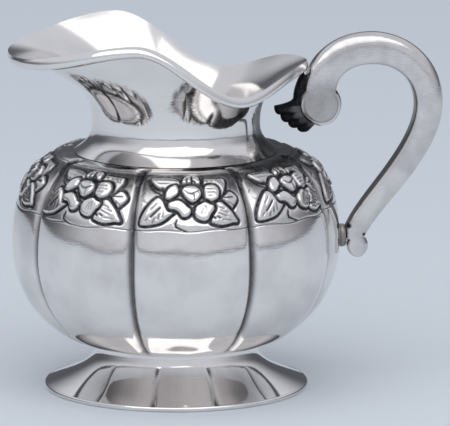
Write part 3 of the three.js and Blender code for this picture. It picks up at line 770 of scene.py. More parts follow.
def rim_points(n, turns):
    """Edge of the lip: an egg of two half superellipses, its height waving by three cubics."""
    spout = np.cos(turns) < 0
    reach = np.where(spout, n.spout_reach + n.widest_x, n.heel_reach - n.widest_x)
    power = np.where(spout, n.spout_squareness, n.heel_squareness)
    x, y = super_ellipse(turns, reach, n.half_width, power)
    x = x + n.widest_x
    tip = (-n.spout_reach, n.tip_height, n.tip_slope)
    crest = (n.crest_x, n.crest_height, 0.0)
    saddle = (n.saddle_x, n.saddle_height, 0.0)
    heel = (n.heel_reach, n.heel_height, n.heel_slope)
    z = np.where(x < n.crest_x, hermite(x, tip, crest), hermite(x, crest, saddle))
    z = np.where(x < n.saddle_x, z, hermite(x, saddle, heel))
    return np.stack([x, y, z], -1)


def flare_leads(n, turns):
    """The four Bezier points of the flare at each turn, from the throat's ring to the rim."""
    rim = rim_points(n, turns)
    throat = round_axis(n.throat_radius, turns, n.throat_height)
    rise = rim[:, 2] - n.throat_height
    to_end = np.abs(np.cos(turns)) ** n.flare_end_power
    hold_side = n.flare_hold_side - n.flare_hold_tilt * np.cos(turns)
    start = between(n.flare_start_side, n.flare_start, to_end)
    hold = between(hold_side, n.flare_hold, to_end)
    lift = between(n.flare_lift_side, n.flare_lift, to_end)
    leave = throat.copy()
    leave[:, 2] += start * rise
    arrive = between(throat, rim, hold[:, None])
    arrive[:, 2] = n.throat_height + lift * rise
    return throat, leave, arrive, rim


def flare_surface(n, turns, t, out):
    """Points of the flare at shares t of its rise, moved out along the skin's normal."""
    turn_step, rise_step = 0.004, 0.002
    t = t + 0.0 * turns
    leads = flare_leads(n, turns)
    ahead = bezier(flare_leads(n, turns + turn_step), t)
    behind = bezier(flare_leads(n, turns - turn_step), t)
    up = bezier(leads, t + rise_step) - bezier(leads, t - rise_step)
    normal = np.cross(ahead - behind, up)
    normal /= np.linalg.norm(normal, axis=-1)[..., None]
    return bezier(leads, t) + out * normal


def neck_fillet(n, radius, reach, throat, shoulder):
    """Collar: a Bezier that leans in from the shoulder, then stands upright to the throat."""
    return bezier((
        (radius, shoulder),
        (radius - reach, shoulder + n.fillet_rise),
        (throat, n.throat_height - n.fillet_drop),
        (throat, n.throat_height),
    ), np.linspace(0.0, 1.0, FILLET_ROWS))


def neck_turns():
    """Turns round the lip, a little closer together at the spout and the heel."""
    turns = np.arange(NECK_COLUMNS) * FULL_TURN / NECK_COLUMNS
    return turns - NECK_CROWDING * np.sin(2.0 * turns)


def neck_skin(n, b):
    """Collar, throat and flare as one sheet, out and back in, with its painted shade and tarnish by the
    handle and its satin parts.
    """
    turns = neck_turns()
    outer = neck_fillet(n, b.mouth_radius, n.fillet_reach, n.throat_radius, b.shoulder_height)
    inner = neck_fillet(
        n, b.mouth_radius - b.mouth_width, n.fillet_reach - b.mouth_width / 2,
        n.throat_radius - n.wall, b.shoulder_height,
    )
    shares = np.linspace(0.0, 1.0, FLARE_ROWS)[1:]
    rings = lathe(outer, turns)
    rings += [flare_surface(n, turns, t, 0.0) for t in shares]
    rings += [flare_surface(n, turns, t, -n.wall) for t in shares[::-1]]
    rings += lathe(inner[::-1], turns)
    points, groups = skin_rings(rings, closed=True)
    x, y, z = points.T
    radius = np.hypot(x, y)
    # painted shade: the neck's handle side is laid dark as a painted dark reflection, with some tarnish
    oxide_and_shade = NECK_SHADE_AND_TARNISH * ease(x / radius, *BY_HANDLE) * fade(z, *SHADE_AND_TARNISH_ENDS)
    satin = COLLAR_SATIN * fade(z, *SATIN_ENDS)
    uneven = np.concatenate([ease(outer[:, 1], *NECK_WAVES_BEGIN), fade(shares, *NECK_WAVES_END)])
    uneven = np.repeat(uneven, len(turns))
    outside, inside = slice(0, len(uneven)), slice(len(uneven), None)
    oxide_and_shade[inside] = 0.0
    satin[inside] = 1.0
    waves = hammer_waves(NECK_SEED, np.arctan2(y, x), z)
    points[outside, :2] *= 1.0 + (n.hand_wave * waves / radius)[outside, None] * uneven[:, None]
    return (points, groups), {"oxide_and_shade": oxide_and_shade, "satin": satin}


def lip_skin(n):
    """Half-round moulding: its front bulges by sqrt(1 - (2 down - 1)^2), its back lies in the sheet."""
    turns = neck_turns()
    tall = between(n.lip_height, n.lip_heel_height, (1.0 + np.cos(turns)) / 2.0)
    leads = flare_leads(n, turns)
    pace = 3.0 * np.linalg.norm(leads[3] - leads[2], axis=1)
    bend = np.linspace(0.0, math.pi, LIP_ROWS)
    bulge = n.lip_thickness + 0.4
    front = [((1.0 + math.cos(a)) / 2.0, -LIP_LET_IN + bulge * math.sin(a)) for a in bend]
    back = [(0.33, -LIP_LET_IN), (0.66, -LIP_LET_IN)]
    rings = [flare_surface(n, turns, 1.0 - down * tall / pace, out) for down, out in front + back]
    return skin_rings(rings, closed=True)


# Foot

FOOT_COLUMNS, FOOT_ROWS, RIM_COLUMNS, RIM_ROWS = 288, 72, 240, 12
# how far the flare is let into the wire below it and the bowl above it
FOOT_LET_IN = 0.05


def foot_flare(f, edge, drop, radius, top):
    """One side of the sheet: a Bezier that leaves the wire at a low slope and ends upright."""
    lead = f.rim_radius - f.setback - f.flare_run
    return bezier((
        (edge, f.rim_height - FOOT_LET_IN),
        (lead, f.rim_height + f.flare_rise - drop),
        (radius, top - f.collar_run - drop),
        (radius, top),
    ), np.linspace(0.0, 1.0, FOOT_ROWS))


def foot_skin(f, seat_height):
    """The foot's sheet: its trumpet profile out and back, carried round the axis."""
    turns = np.arange(FOOT_COLUMNS) * FULL_TURN / FOOT_COLUMNS
    edge, top = f.rim_radius - f.setback, seat_height + FOOT_LET_IN
    outer = foot_flare(f, edge, 0.0, f.top_radius, top)
    inner = foot_flare(f, edge - f.seat_width, f.wall, f.top_radius - f.wall, top)
    return skin_rings(lathe(np.concatenate([outer, inner[::-4]]), turns), closed=True)


def foot_rim_skin(f):
    """The wire: a flat ring with a rounded outer edge, standing on the table."""
    turns = np.arange(RIM_COLUMNS) * FULL_TURN / RIM_COLUMNS
    inner = f.rim_radius - f.rim_width
    bend = np.linspace(-0.5 * math.pi, 0.5 * math.pi, RIM_ROWS)
    half = f.rim_height / 2
    round_edge = np.stack([
        f.rim_radius - f.rim_edge + f.rim_edge * np.cos(bend), half + half * np.sin(bend)
    ], -1)
    profile = np.concatenate([[(inner, 0.0)], round_edge, [(inner, f.rim_height)]])
    return skin_rings(lathe(profile, turns), closed=True)


# Handle

SCROLL_ROWS, ARM_ROWS, LINE_POINTS, END_POINTS = 60, 150, 300, 60
# lengths of the arm beside the upper and the lower scroll that have closer rows
UPPER_CLOSE, LOWER_CLOSE = 5.0, 8.0
# squareness at the upper scroll, and the share of the arm round which it holds and fades
SCROLL_SQUARENESS, SCROLL_PART, SCROLL_FADES = 7.0, 0.03, (0.0, 0.12)
# direction of the middle line through the lower scroll
LOWER_LEAN = (0.12, -1.0)
LEAST_HALF_WIDTH, CLOSING_WIDTH = 0.01, 0.9
# painted shade on the inner side of the loop, where it faces the bowl, with some tarnish, and the shares
# of the arm where it begins and ends
LOOP_SHADE, LOOP_BEGINS, LOOP_ENDS = 0.47, (0.34, 0.52), (0.95, 0.99)
# points of a section's rounded edge, as shares of its height at the knee
SECTION_KNEE, SECTION_EDGE = 0.9, (0.0, 0.2, 0.42, 0.62, 0.78, 0.9, 0.97)
# ring line on the upper scroll: distance from its rim, half width, depth, oxide
RING_INSET, RING_WIDTH, RING_DEPTH, RING_OXIDE = 1.15, 0.2, 0.1, 0.1
# oxide of the whole handle and of the scroll's face; from the rim, where the face and the arm clear
HANDLE_OXIDE, FACE_OXIDE, FACE_CLEARS, ARM_CLEARS = 0.17, 0.15, (-1.2, -0.7), (-1.5, 3.0)
# cosines of the turn over which the arm leaves the scroll
ARM_LEAVES = (0.25, 0.65)
# painted shade in the handle's corners, by the scrolls, the leaf and the seat, from the axis and up: (x,
# z, radius)
SHADED_HANDLE_CORNERS = ((44.3, 81.6, 0.55), (51.9, 41.5, 0.5), (34.6, 87.0, 0.8), (47.6, 44.0, 0.7))


def handle_line(h):
    """Middle line of the arm: three Bezier arcs, with a run down through each scroll at its ends."""
    t = np.linspace(0.0, 1.0, LINE_POINTS)
    volute, top = (h.volute_x, h.volute_height), (h.top_x, h.top_height)
    side, end = (h.side_x, h.side_height), (h.end_x, h.end_height)
    neck = (volute[0] - h.neck_lean, volute[1] + h.neck_rise)
    tail = (end[0] + h.end_lean, end[1] + h.end_rise)
    arm = np.concatenate([
        bezier((volute, neck, (top[0] - h.top_run, top[1]), top), t),
        bezier((top, (top[0] + h.top_run, top[1]), (side[0], side[1] + h.side_run), side), t)[1:],
        bezier((side, (side[0], side[1] - h.tail_run), tail, end), t)[1:],
    ])
    first = (arm[0] - arm[1]) / np.linalg.norm(arm[0] - arm[1])
    drop = h.end_height - h.scroll_height + h.scroll_radius
    head = arm[0] + first * np.linspace(h.volute_radius, 0.0, END_POINTS)[:, None]
    foot = arm[-1] + np.array(LOWER_LEAN) * np.linspace(0.0, drop, END_POINTS)[:, None]
    return np.concatenate([head[:-1], arm, foot[1:]]), run_lengths(arm)[-1], len(head) - 1


def span_of_disc(line, across, centre, radius):
    """Where each cross line enters and leaves a disc; an empty span where it misses."""
    away = line - np.asarray(centre)
    middle = -np.einsum("ij,ij->i", away, across)
    reach = radius**2 - np.einsum("ij,ij->i", away, away) + middle**2
    half = np.sqrt(np.clip(reach, 0.0, None))
    return middle - half, middle + half, reach > 0


def half_section(power):
    """Quarter superellipse y = (1 - x^n)^(1/n), from its edge in: even in y round the edge, then in x."""
    top = (1.0 - SECTION_KNEE**power) ** (1.0 / power)
    y_edge = top * np.array(SECTION_EDGE)
    x_edge = (1.0 - y_edge**power) ** (1.0 / power)
    x_flat = np.linspace(SECTION_KNEE, 0.0, 19) + 0.0 * power
    y_flat = (1.0 - x_flat**power) ** (1.0 / power)
    return np.stack([np.concatenate([x_edge, x_flat], 1), np.concatenate([y_edge, y_flat], 1)], -1)


def capped_rows(rows):
    """One skin through rows of points, closed at both ends by a fan to the row's middle."""
    first, last = rows[0].mean(0)[None, :], rows[-1].mean(0)[None, :]
    return skin_rings([first, *rows, last])


def scroll_marks(h, x, z):
    """A ring line let in round the upper scroll's face, and the dark of the face and the painted shade in
    the corners.
    """
    from_rim = np.hypot(x - h.volute_x, z - h.volute_height) - h.volute_radius
    turn = np.arctan2(z - h.volute_height, x - h.volute_x)
    leave = math.atan2(h.neck_rise, -h.neck_lean)
    free = fade(np.cos(turn - leave), *ARM_LEAVES)
    line = bell(from_rim + RING_INSET, RING_WIDTH) * free
    face = fade(from_rim, *FACE_CLEARS) + (1.0 - free) * fade(from_rim, *ARM_CLEARS)
    oxide_and_shade = HANDLE_OXIDE + FACE_OXIDE * np.minimum(face, 1.0) + RING_OXIDE * line
    # painted shade laid into the handle's corners
    for corner_x, corner_z, radius in SHADED_HANDLE_CORNERS:
        oxide_and_shade = np.maximum(oxide_and_shade, bell(np.hypot(x - corner_x, z - corner_z), radius))
    return RING_DEPTH * line, oxide_and_shade


def handle_outline(h, stops, place, across, start, end, part):
    """Span of the outline on each cross line: the arm's width joined with the discs of the scrolls."""
    taper = np.clip((part - h.taper_start) / (1.0 - h.taper_start), 0.0, 1.0)
    half_width = between(h.top_width, h.end_width, taper) / 2
    depth = between(h.top_thickness, h.end_thickness, taper) / 2
    on_arm = (part >= 0.0) & (part <= 1.0)
    low = np.where(on_arm, -half_width, np.inf)
    high = np.where(on_arm, half_width, -np.inf)
    for centre, radius, near in (
        ((h.volute_x, h.volute_height), h.volute_radius, stops < start + h.volute_radius),
        ((h.scroll_x, h.scroll_height), h.scroll_radius, stops > end - 3.0 * h.scroll_radius),
    ):
        enter, leave, hit = span_of_disc(place, across, centre, radius)
        hit = hit & near
        low = np.where(hit, np.minimum(low, enter), low)
        high = np.where(hit, np.maximum(high, leave), high)
    low, high = np.where(np.isinf(low), 0.0, low), np.where(np.isinf(high), 0.0, high)
    near_seat = place[:, 1] < (h.end_height + h.top_height) / 2
    to_seat = (h.seat_x - place[:, 0]) / np.where(np.abs(across[:, 0]) < 0.2, -1.0, across[:, 0])
    inner_side = across[:, 0] < 0
    high = np.where(near_seat & inner_side, np.minimum(high, to_seat), high)
    return (low + high) / 2, np.maximum((high - low) / 2, LEAST_HALF_WIDTH), depth


def handle_half_skin(h, side):
    """One half of the handle and its oxide, with painted shade in its corners and inside its loop: at
    each place a half superellipse over the outline.
    """
    line, arm_length, first = handle_line(h)
    run = run_lengths(line)
    start, end = run[first], run[-1]
    stops = np.concatenate([
        np.linspace(0.0, start + UPPER_CLOSE, SCROLL_ROWS)[:-1],
        np.linspace(start + UPPER_CLOSE, end - LOWER_CLOSE, ARM_ROWS)[:-1],
        np.linspace(end - LOWER_CLOSE, end, SCROLL_ROWS),
    ])
    place, along = (
        np.stack([np.interp(stops, run, values[:, k]) for k in (0, 1)], -1)
        for values in (line, np.gradient(line, run, axis=0))
    )
    along /= np.linalg.norm(along, axis=1)[:, None]
    across = np.stack([along[:, 1], -along[:, 0]], -1)
    part = (stops - start) / arm_length
    middle, half, depth = handle_outline(h, stops, place, across, start, end, part)
    arm = ease(np.abs(part - SCROLL_PART), *SCROLL_FADES)[:, None]
    inner, outer = (
        half_section(between(SCROLL_SQUARENESS, squareness, arm))
        for squareness in (h.face_squareness, h.back_squareness)
    )
    outer = outer[:, -2::-1]
    x = np.concatenate([inner[..., 0], -outer[..., 0]], axis=1) * half[:, None] + middle[:, None]
    y = np.concatenate([inner[..., 1], outer[..., 1]], axis=1) * depth[:, None]
    closing = np.clip(half / CLOSING_WIDTH, 0.0, 1.0)
    y = y * np.sqrt(1.0 - (1.0 - closing[:, None]) ** 2)
    across_x, up = place[:, :1] + x * across[:, :1], place[:, 1:] + x * across[:, 1:]
    ring, oxide_and_shade = scroll_marks(h, across_x, up)
    # painted shade along the inner side of the loop, with some tarnish
    loop_shade = LOOP_SHADE * ease(part, *LOOP_BEGINS) * fade(part, *LOOP_ENDS)
    inner_edge = oxide_and_shade[:, :len(SECTION_EDGE)]
    inner_edge[:] = np.maximum(inner_edge, loop_shade[:, None])
    points = np.stack([across_x, side * np.maximum(y - ring, 0.0), up], -1)
    points[:, (0, -1), 1] = 0.0
    return capped_rows(points), np.concatenate([oxide_and_shade[0, :1], oxide_and_shade.ravel(), oxide_and_shade[-1, :1]])


# how deep the seat is let into the belly, and its rounded edge as shares in and forward
SEAT_COLUMNS, SEAT_LET_IN = 48, 0.5
SEAT_EDGE = ((0.0, 0.0), (0.0, 0.55), (0.03, 0.8), (0.12, 0.95), (0.3, 1.0))


def seat_skin(h):
    """Seat under the handle's lower end: an oval plate with rounded faces."""
    turns = np.arange(SEAT_COLUMNS) * FULL_TURN / SEAT_COLUMNS
    thick = h.seat_thickness + SEAT_LET_IN
    back = h.seat_x - thick
    rings = [np.array([[back, 0.0, h.seat_height]])]
    for inset, forward in SEAT_EDGE:
        rings.append(np.stack([
            np.full_like(turns, back + thick * forward),
            h.seat_half_width * (1.0 - inset) * np.cos(turns),
            h.seat_height + h.seat_half_height * (1.0 - inset) * np.sin(turns),
        ], -1))
    rings.append(np.array([[h.seat_x, 0.0, h.seat_height]]))
    return skin_rings(rings)


# scallops of the leaf's edge, their height, and the bow of the whole edge
SCALLOPS, SCALLOP_HEIGHT, EDGE_BOW = 4, 0.75, 5.2
# where the leaf springs from the scroll: how far inside its rim, and its turns in degrees
ROOT_INSET, ROOT_TURNS = 1.6, (118, 168, 186, 262)
# depth of the furrows and fall of the dome, as shares of the half thickness, and the least depth
FURROW_SHARE, DOME_SHARE, LEAST_DEPTH = 0.28, 0.28, 0.02
# oxide of the leaf, what the furrows add, and what the worn high points lose over these depths
LEAF_OXIDE, FURROW_OXIDE, WORN_LOSS, WORN_DEPTHS = 0.9, 0.1, 0.5, (1.0, 2.2)


def leaf_outline(h):
    """Outer edge of the leaf: up the stem, out to the tip, then along the scalloped edge."""
    cx, cz, r = h.volute_x, h.volute_height, h.volute_radius
    back = cx - r - 1.35
    top = (cx - r + 1.25, cz + 9.2)
    tip = (cx - r - 6.6, cz - 0.4)
    toe = (cx - r * 0.55, cz - r - 1.9)
    t = np.linspace(0.0, 1.0, 40)
    stem = bezier((top, (back + 0.9, cz + r + 1.0), (back, cz + r * 0.6), (back, cz + r * 0.36)), t)
    web = bezier((stem[-1], (back, cz + 0.6), (back - 1.4, cz + 0.3), tip), t)[1:]
    chord = np.subtract(toe, tip)
    out = np.array([chord[1], -chord[0]]) / np.hypot(*chord)
    s = np.linspace(0.0, 1.0, 120)
    scallop = np.abs(np.sin(SCALLOPS * math.pi * s)) ** 0.7
    edge = np.asarray(tip) + s[:, None] * chord
    edge = edge + out * (EDGE_BOW * s * (1.0 - s) + SCALLOP_HEIGHT * scallop)[:, None]
    return np.concatenate([stem, web, edge[1:]]), len(stem) + len(web)


def leaf_skin(h):
    """Cast leaf: ruled from the scroll's disc out to the edge, domed and veined on both sides."""
    outer, blade = leaf_outline(h)
    n = len(outer)
    place = np.arange(n)
    turn = np.radians(np.interp(place, (0, blade * 0.5, blade, n - 1), ROOT_TURNS))
    reach = h.volute_radius - ROOT_INSET
    root = np.stack([h.volute_x + reach * np.cos(turn), h.volute_height + reach * np.sin(turn)], -1)
    t = np.concatenate([np.linspace(0.0, 0.8, 14), np.linspace(0.8, 1.0, 12)[1:]])
    flat = between(root[:, None], outer[:, None], t[:, None])
    in_blade = ease(place.astype(float), blade * 0.75, blade * 1.0)[:, None]
    s = np.clip((place - blade) / (n - blade), 0.0, 1.0)
    veins = np.abs(np.sin(SCALLOPS * math.pi * s)) ** 0.6
    fall = np.sqrt(np.clip(1.0 - t**5, 0.0, 1.0))
    furrow = (1.0 - veins)[:, None] * in_blade * ease(t, 0.35, 0.8)
    depth = h.leaf_thickness / 2 * (fall - FURROW_SHARE * furrow)
    depth = depth * (1.0 - DOME_SHARE + DOME_SHARE * np.cos(math.pi * t) * in_blade)
    depth = np.maximum(depth, LEAST_DEPTH)
    depth[:, -1] = 0.0
    worn = WORN_LOSS * in_blade * ease(depth, *WORN_DEPTHS) * (1.0 - furrow)
    oxide_and_shade = LEAF_OXIDE + FURROW_OXIDE * furrow - worn
    near = np.stack([flat[..., 0], -depth, flat[..., 1]], -1)
    far = np.stack([flat[..., 0], depth, flat[..., 1]], -1)[:, -2::-1]
    shade = np.concatenate([oxide_and_shade, oxide_and_shade[:, -2::-1]], axis=1)
    skin = capped_rows(np.concatenate([near, far], axis=1))
    return skin, np.concatenate([[1.0], shade.ravel(), [1.0]])


# Finishes

# colour, polish, size of the stains, strength of the stains, strength of the handling marks
FINISHES = {
    "silver_bowl": ("silver", 0.05, 75.0, 0.9, 0.25),
    "silver_neck": ("silver", 0.045, 60.0, 0.5, 0.2),
    "silver_lip": ("silver", 0.06, 70.0, 0.3, 0.2),
    "silver_foot": ("silver", 0.05, 60.0, 0.5, 0.2),
    "silver_foot_rim": ("silver", 0.1, 60.0, 0.6, 0.3),
    "silver_handle": ("silver", 0.12, 130.0, 1.0, 1.0),
    # the seat takes the worn colour with a dark mask as painted shade in the gap under the handle's end
    "silver_seat": ("worn", 0.2, 200.0, 0.8, 0.6),
    "silver_leaf": ("cast", 0.3, 300.0, 0.6, 0.6),
}
MARK_DEPTH = 0.02 * MM
SATIN_ROUGHNESS, STAIN_ROUGHNESS, OXIDE_ROUGHNESS = 0.1, 0.05, 0.3


def new_group(name, inputs, outputs):
    """An empty shader node group with named sockets, (name, kind, default), and its two ends."""
    group = bpy.data.node_groups.new(name, "ShaderNodeTree")
    for label, kind, default in inputs:
        socket = group.interface.new_socket(label, in_out="INPUT", socket_type=kind)
        socket.default_value = default
    for label, kind in outputs:
        group.interface.new_socket(label, in_out="OUTPUT", socket_type=kind)
    given, made = group.nodes.new("NodeGroupInput"), group.nodes.new("NodeGroupOutput")
    return group, given.outputs, made.inputs


def add_node(tree, kind, inputs=None, **settings):
    """A node with its settings; each named input is given a plain value or another node's output."""
    node = tree.nodes.new(kind)
    for key, value in settings.items():
        setattr(node, key, value)
    for key, value in (inputs or {}).items():
        if isinstance(value, bpy.types.NodeSocket):
            tree.links.new(value, node.inputs[key])
        else:
            node.inputs[key].default_value = value
    return node


def noise(tree, place, scale, detail):
    """Cloudy noise from 0 to 1."""
    inputs = {"Vector": place, "Scale": scale, "Detail": detail}
    return add_node(tree, "ShaderNodeTexNoise", inputs).outputs["Fac"]


def spread(tree, value, low, high, least=0.0, kind="LINEAR"):
    """A value's stretch from low to high, spread from least to 1."""
    inputs = {"Value": value, "From Min": low, "From Max": high, "To Min": least}
    return add_node(tree, "ShaderNodeMapRange", inputs, interpolation_type=kind).outputs["Result"]


def reckon(tree, operation, *terms):
    """One step of arithmetic on outputs and plain numbers."""
    return add_node(tree, "ShaderNodeMath", dict(enumerate(terms)), operation=operation).outputs[0]


def blend(tree, amount, first, second):
    """The first colour passing into the second."""
    inputs = {"Factor": amount, 6: first, 7: second}
    return add_node(tree, "ShaderNodeMix", inputs, data_type="RGBA").outputs[2]


def tarnish_and_shade_group():
    """Silver's colour and roughness: faint stains by noise, and the dark colour where a line is cut and
    where shade is painted.
    """
    group, given, made = new_group("silver_tarnish_and_shade", (
        ("Oxide_and_shade", "NodeSocketFloat", 0.0),
        ("Bright", "NodeSocketColor", (0.9, 0.9, 0.88, 1.0)),
        ("Worn", "NodeSocketColor", (0.8, 0.78, 0.75, 1.0)),
        ("Dark", "NodeSocketColor", (0.03, 0.03, 0.03, 1.0)),
        ("Stain Scale", "NodeSocketFloat", 40.0),
        ("Stain Amount", "NodeSocketFloat", 0.5),
        ("Polish", "NodeSocketFloat", 0.06),
    ), (("Color", "NodeSocketColor"), ("Roughness", "NodeSocketFloat")))
    place = add_node(group, "ShaderNodeTexCoord").outputs["Object"]
    cloud = spread(group, noise(group, place, given["Stain Scale"], 4.0), 0.44, 0.66)
    stain = reckon(group, "MULTIPLY", cloud, given["Stain Amount"])
    stained = blend(group, stain, given["Bright"], given["Worn"])
    grain = spread(group, noise(group, place, 900.0, 2.0), 0.25, 0.6, 0.91)
    # the mask holds real oxide and painted shade alike; both take the dark colour
    filled = spread(group, given["Oxide_and_shade"], 0.0, 0.7, kind="SMOOTHSTEP")
    darkening = reckon(group, "MULTIPLY", filled, grain)
    dull = reckon(group, "MULTIPLY_ADD", stain, STAIN_ROUGHNESS, given["Polish"])
    rough = reckon(group, "MULTIPLY_ADD", darkening, OXIDE_ROUGHNESS, dull)
    group.links.new(blend(group, darkening, stained, given["Dark"]), made["Color"])
    group.links.new(rough, made["Roughness"])
    return group


def handling_group():
    """Fine marks of polishing and use: two crossed sets of stretched noise as a height."""
    group, given, made = new_group("handling_marks", (
        ("Scale", "NodeSocketFloat", 300.0),
        ("Stretch", "NodeSocketVector", (1.0, 1.0, 14.0)),
    ), (("Height", "NodeSocketFloat"),))
    place = add_node(group, "ShaderNodeTexCoord").outputs["Object"]
    marks = []
    for rotation in ((0.4, 0.9, 0.2), (1.2, -0.5, 0.8)):
        turned = add_node(group, "ShaderNodeMapping", {
            "Vector": place, "Rotation": rotation, "Scale": given["Stretch"],
        })
        marks.append(noise(group, turned.outputs["Vector"], given["Scale"], 3.0))
    group.links.new(reckon(group, "ADD", *marks), made["Height"])
    return group


def shared_group(tree, name, maker, inputs=None):
    """The outputs of a node group that is made once and then shared."""
    group = bpy.data.node_groups.get(name) or maker()
    return add_node(tree, "ShaderNodeGroup", inputs, node_tree=group).outputs


def silver_finish(name, colours):
    """Polished silver: metal whose colour and roughness follow stains, oxide, painted shade and fine
    marks.
    """
    bright, polish, stain_scale, stain_amount, marks = FINISHES[name]
    material = bpy.data.materials.new(name)
    material.use_nodes = True
    tree = material.node_tree
    oxide_and_shade, satin = (
        add_node(tree, "ShaderNodeAttribute", attribute_name=key).outputs["Fac"]
        for key in ("oxide_and_shade", "satin")
    )
    tarnish_and_shade = shared_group(tree, "silver_tarnish_and_shade", tarnish_and_shade_group, {
        "Oxide_and_shade": oxide_and_shade, "Polish": polish, "Stain Scale": stain_scale, "Stain Amount": stain_amount,
        "Bright": getattr(colours, bright), "Worn": colours.worn, "Dark": colours.oxide_and_shade,
    })
    handled = shared_group(tree, "handling_marks", handling_group)
    bump = add_node(tree, "ShaderNodeBump", {
        "Height": handled["Height"], "Strength": marks, "Distance": MARK_DEPTH,
    })
    rough = reckon(tree, "MULTIPLY_ADD", satin, SATIN_ROUGHNESS, tarnish_and_shade["Roughness"])
    shader = tree.nodes["Principled BSDF"].inputs
    shader["Metallic"].default_value = 1.0
    tree.links.new(tarnish_and_shade["Color"], shader["Base Color"])
    tree.links.new(rough, shader["Roughness"])
    tree.links.new(bump.outputs["Normal"], shader["Normal"])
    return material


# Operators, one for each piece or group of pieces

CREASE = math.radians(50.0)


class CREAMER_OT_bowl(bpy.types.Operator):
    """Build the lobed bowl with its chased flower band."""

    bl_idname = "creamer.bowl"
    bl_label = "Bowl"

    def execute(self, context):
        scene, colours = context.scene, context.scene.creamer_finish
        skin, masks = bowl_skin(values_of(scene.creamer_bowl))
        finish = silver_finish("silver_bowl", colours)
        add_piece("bowl_lobed", skin, "bowl", finish, masks)
        return {"FINISHED"}


class CREAMER_OT_neck(bpy.types.Operator):
    """Build the flaring neck and the moulding along its lip."""

    bl_idname = "creamer.neck"
    bl_label = "Neck and lip"

    def execute(self, context):
        scene, colours = context.scene, context.scene.creamer_finish
        neck, bowl = values_of(scene.creamer_neck), values_of(scene.creamer_bowl)
        skin, masks = neck_skin(neck, bowl)
        finish = silver_finish("silver_neck", colours)
        add_piece("neck_flared", skin, "neck", finish, masks, CREASE)
        finish = silver_finish("silver_lip", colours)
        add_piece("lip_moulding", lip_skin(neck), "lip_wire", finish, crease=CREASE)
        return {"FINISHED"}


class CREAMER_OT_foot(bpy.types.Operator):
    """Build the flared foot and the wire round its edge."""

    bl_idname = "creamer.foot"
    bl_label = "Foot"

    def execute(self, context):
        scene, colours = context.scene, context.scene.creamer_finish
        foot = values_of(scene.creamer_foot)
        skin = foot_skin(foot, values_of(scene.creamer_bowl).seat_height)
        finish = silver_finish("silver_foot", colours)
        add_piece("foot_flared", skin, "foot", finish, crease=CREASE)
        skin = foot_rim_skin(foot)
        finish = silver_finish("silver_foot_rim", colours)
        add_piece("foot_edge_wire", skin, "foot_rim", finish, crease=CREASE)
        return {"FINISHED"}


class CREAMER_OT_handle(bpy.types.Operator):
    """Build the two halves of the scroll handle, its seat and its leaf."""

    bl_idname = "creamer.handle"
    bl_label = "Handle"

    def execute(self, context):
        scene, colours = context.scene, context.scene.creamer_finish
        handle = values_of(scene.creamer_handle)
        finish = silver_finish("silver_handle", colours)
        for name, node, side in (
            ("handle_half_near", "handle_near", -1.0), ("handle_half_far", "handle_far", 1.0),
        ):
            skin, oxide_and_shade = handle_half_skin(handle, side)
            add_piece(name, skin, node, finish, {"oxide_and_shade": oxide_and_shade}, CREASE)
        skin = seat_skin(handle)
        # painted shade: the seat is laid dark all over for the gap between the handle's end and the bowl
        oxide_and_shade = np.full(len(skin[0]), 0.4)
        finish = silver_finish("silver_seat", colours)
        add_piece("handle_seat", skin, "handle_pad", finish, {"oxide_and_shade": oxide_and_shade})
        skin, oxide_and_shade = leaf_skin(handle)
        finish = silver_finish("silver_leaf", colours)
        add_piece("leaf_cast", skin, "handle_leaf", finish, {"oxide_and_shade": oxide_and_shade})
        return {"FINISHED"}


class CREAMER_OT_stage(bpy.types.Operator):
    """Set the pale table, the light tent, the soft lamp and the camera."""

    bl_idname = "creamer.stage"
    bl_label = "Stage"

    def execute(self, context):
        scene = context.scene
        scene.view_settings.view_transform = "Standard"
        add_table(scene, scene.creamer_finish)
        add_tent(scene, scene.creamer_finish)
        add_lamp(scene)
        add_camera(scene)
        return {"FINISHED"}


# Stage

TABLE_RINGS, TABLE_COLUMNS, TABLE_SET_BACK = (200.0, 800.0, 2000.0), 128, 600.0
# the camera's turn toward the spout and lift, its aim from the axis, its distance in millimetres,
# and the picture's width and scale in pixels
CAMERA_TURN, CAMERA_LIFT = math.radians(6.5), math.radians(11.0)
CAMERA_AIM, CAMERA_DISTANCE = (13.57, 0.10, 47.85), 2000.0
PICTURE_WIDTH, PIXELS_PER_MM, SENSOR_WIDTH = 450.0, 3.63, 36.0


def add_table(scene, colours):
    """Round pale table top: rings of a flat disc."""
    turns = np.arange(TABLE_COLUMNS) * FULL_TURN / TABLE_COLUMNS
    points, groups = skin_rings([np.zeros((1, 3)), *lathe([(r, 0.0) for r in TABLE_RINGS], turns)])
    points[:, 1] += TABLE_SET_BACK
    mesh = bpy.data.meshes.new("table_top")
    mesh.from_pydata((points * MM).tolist(), [], [f.tolist() for g in groups for f in g[:, ::-1]])
    material = bpy.data.materials.new("table_cloth")
    material.use_nodes = True
    shader = material.node_tree.nodes["Principled BSDF"].inputs
    shader["Base Color"].default_value = colours.floor
    shader["Roughness"].default_value = 0.7
    mesh.materials.append(material)
    table = bpy.data.objects.new("table_top", mesh)
    scene.collection.objects.link(table)


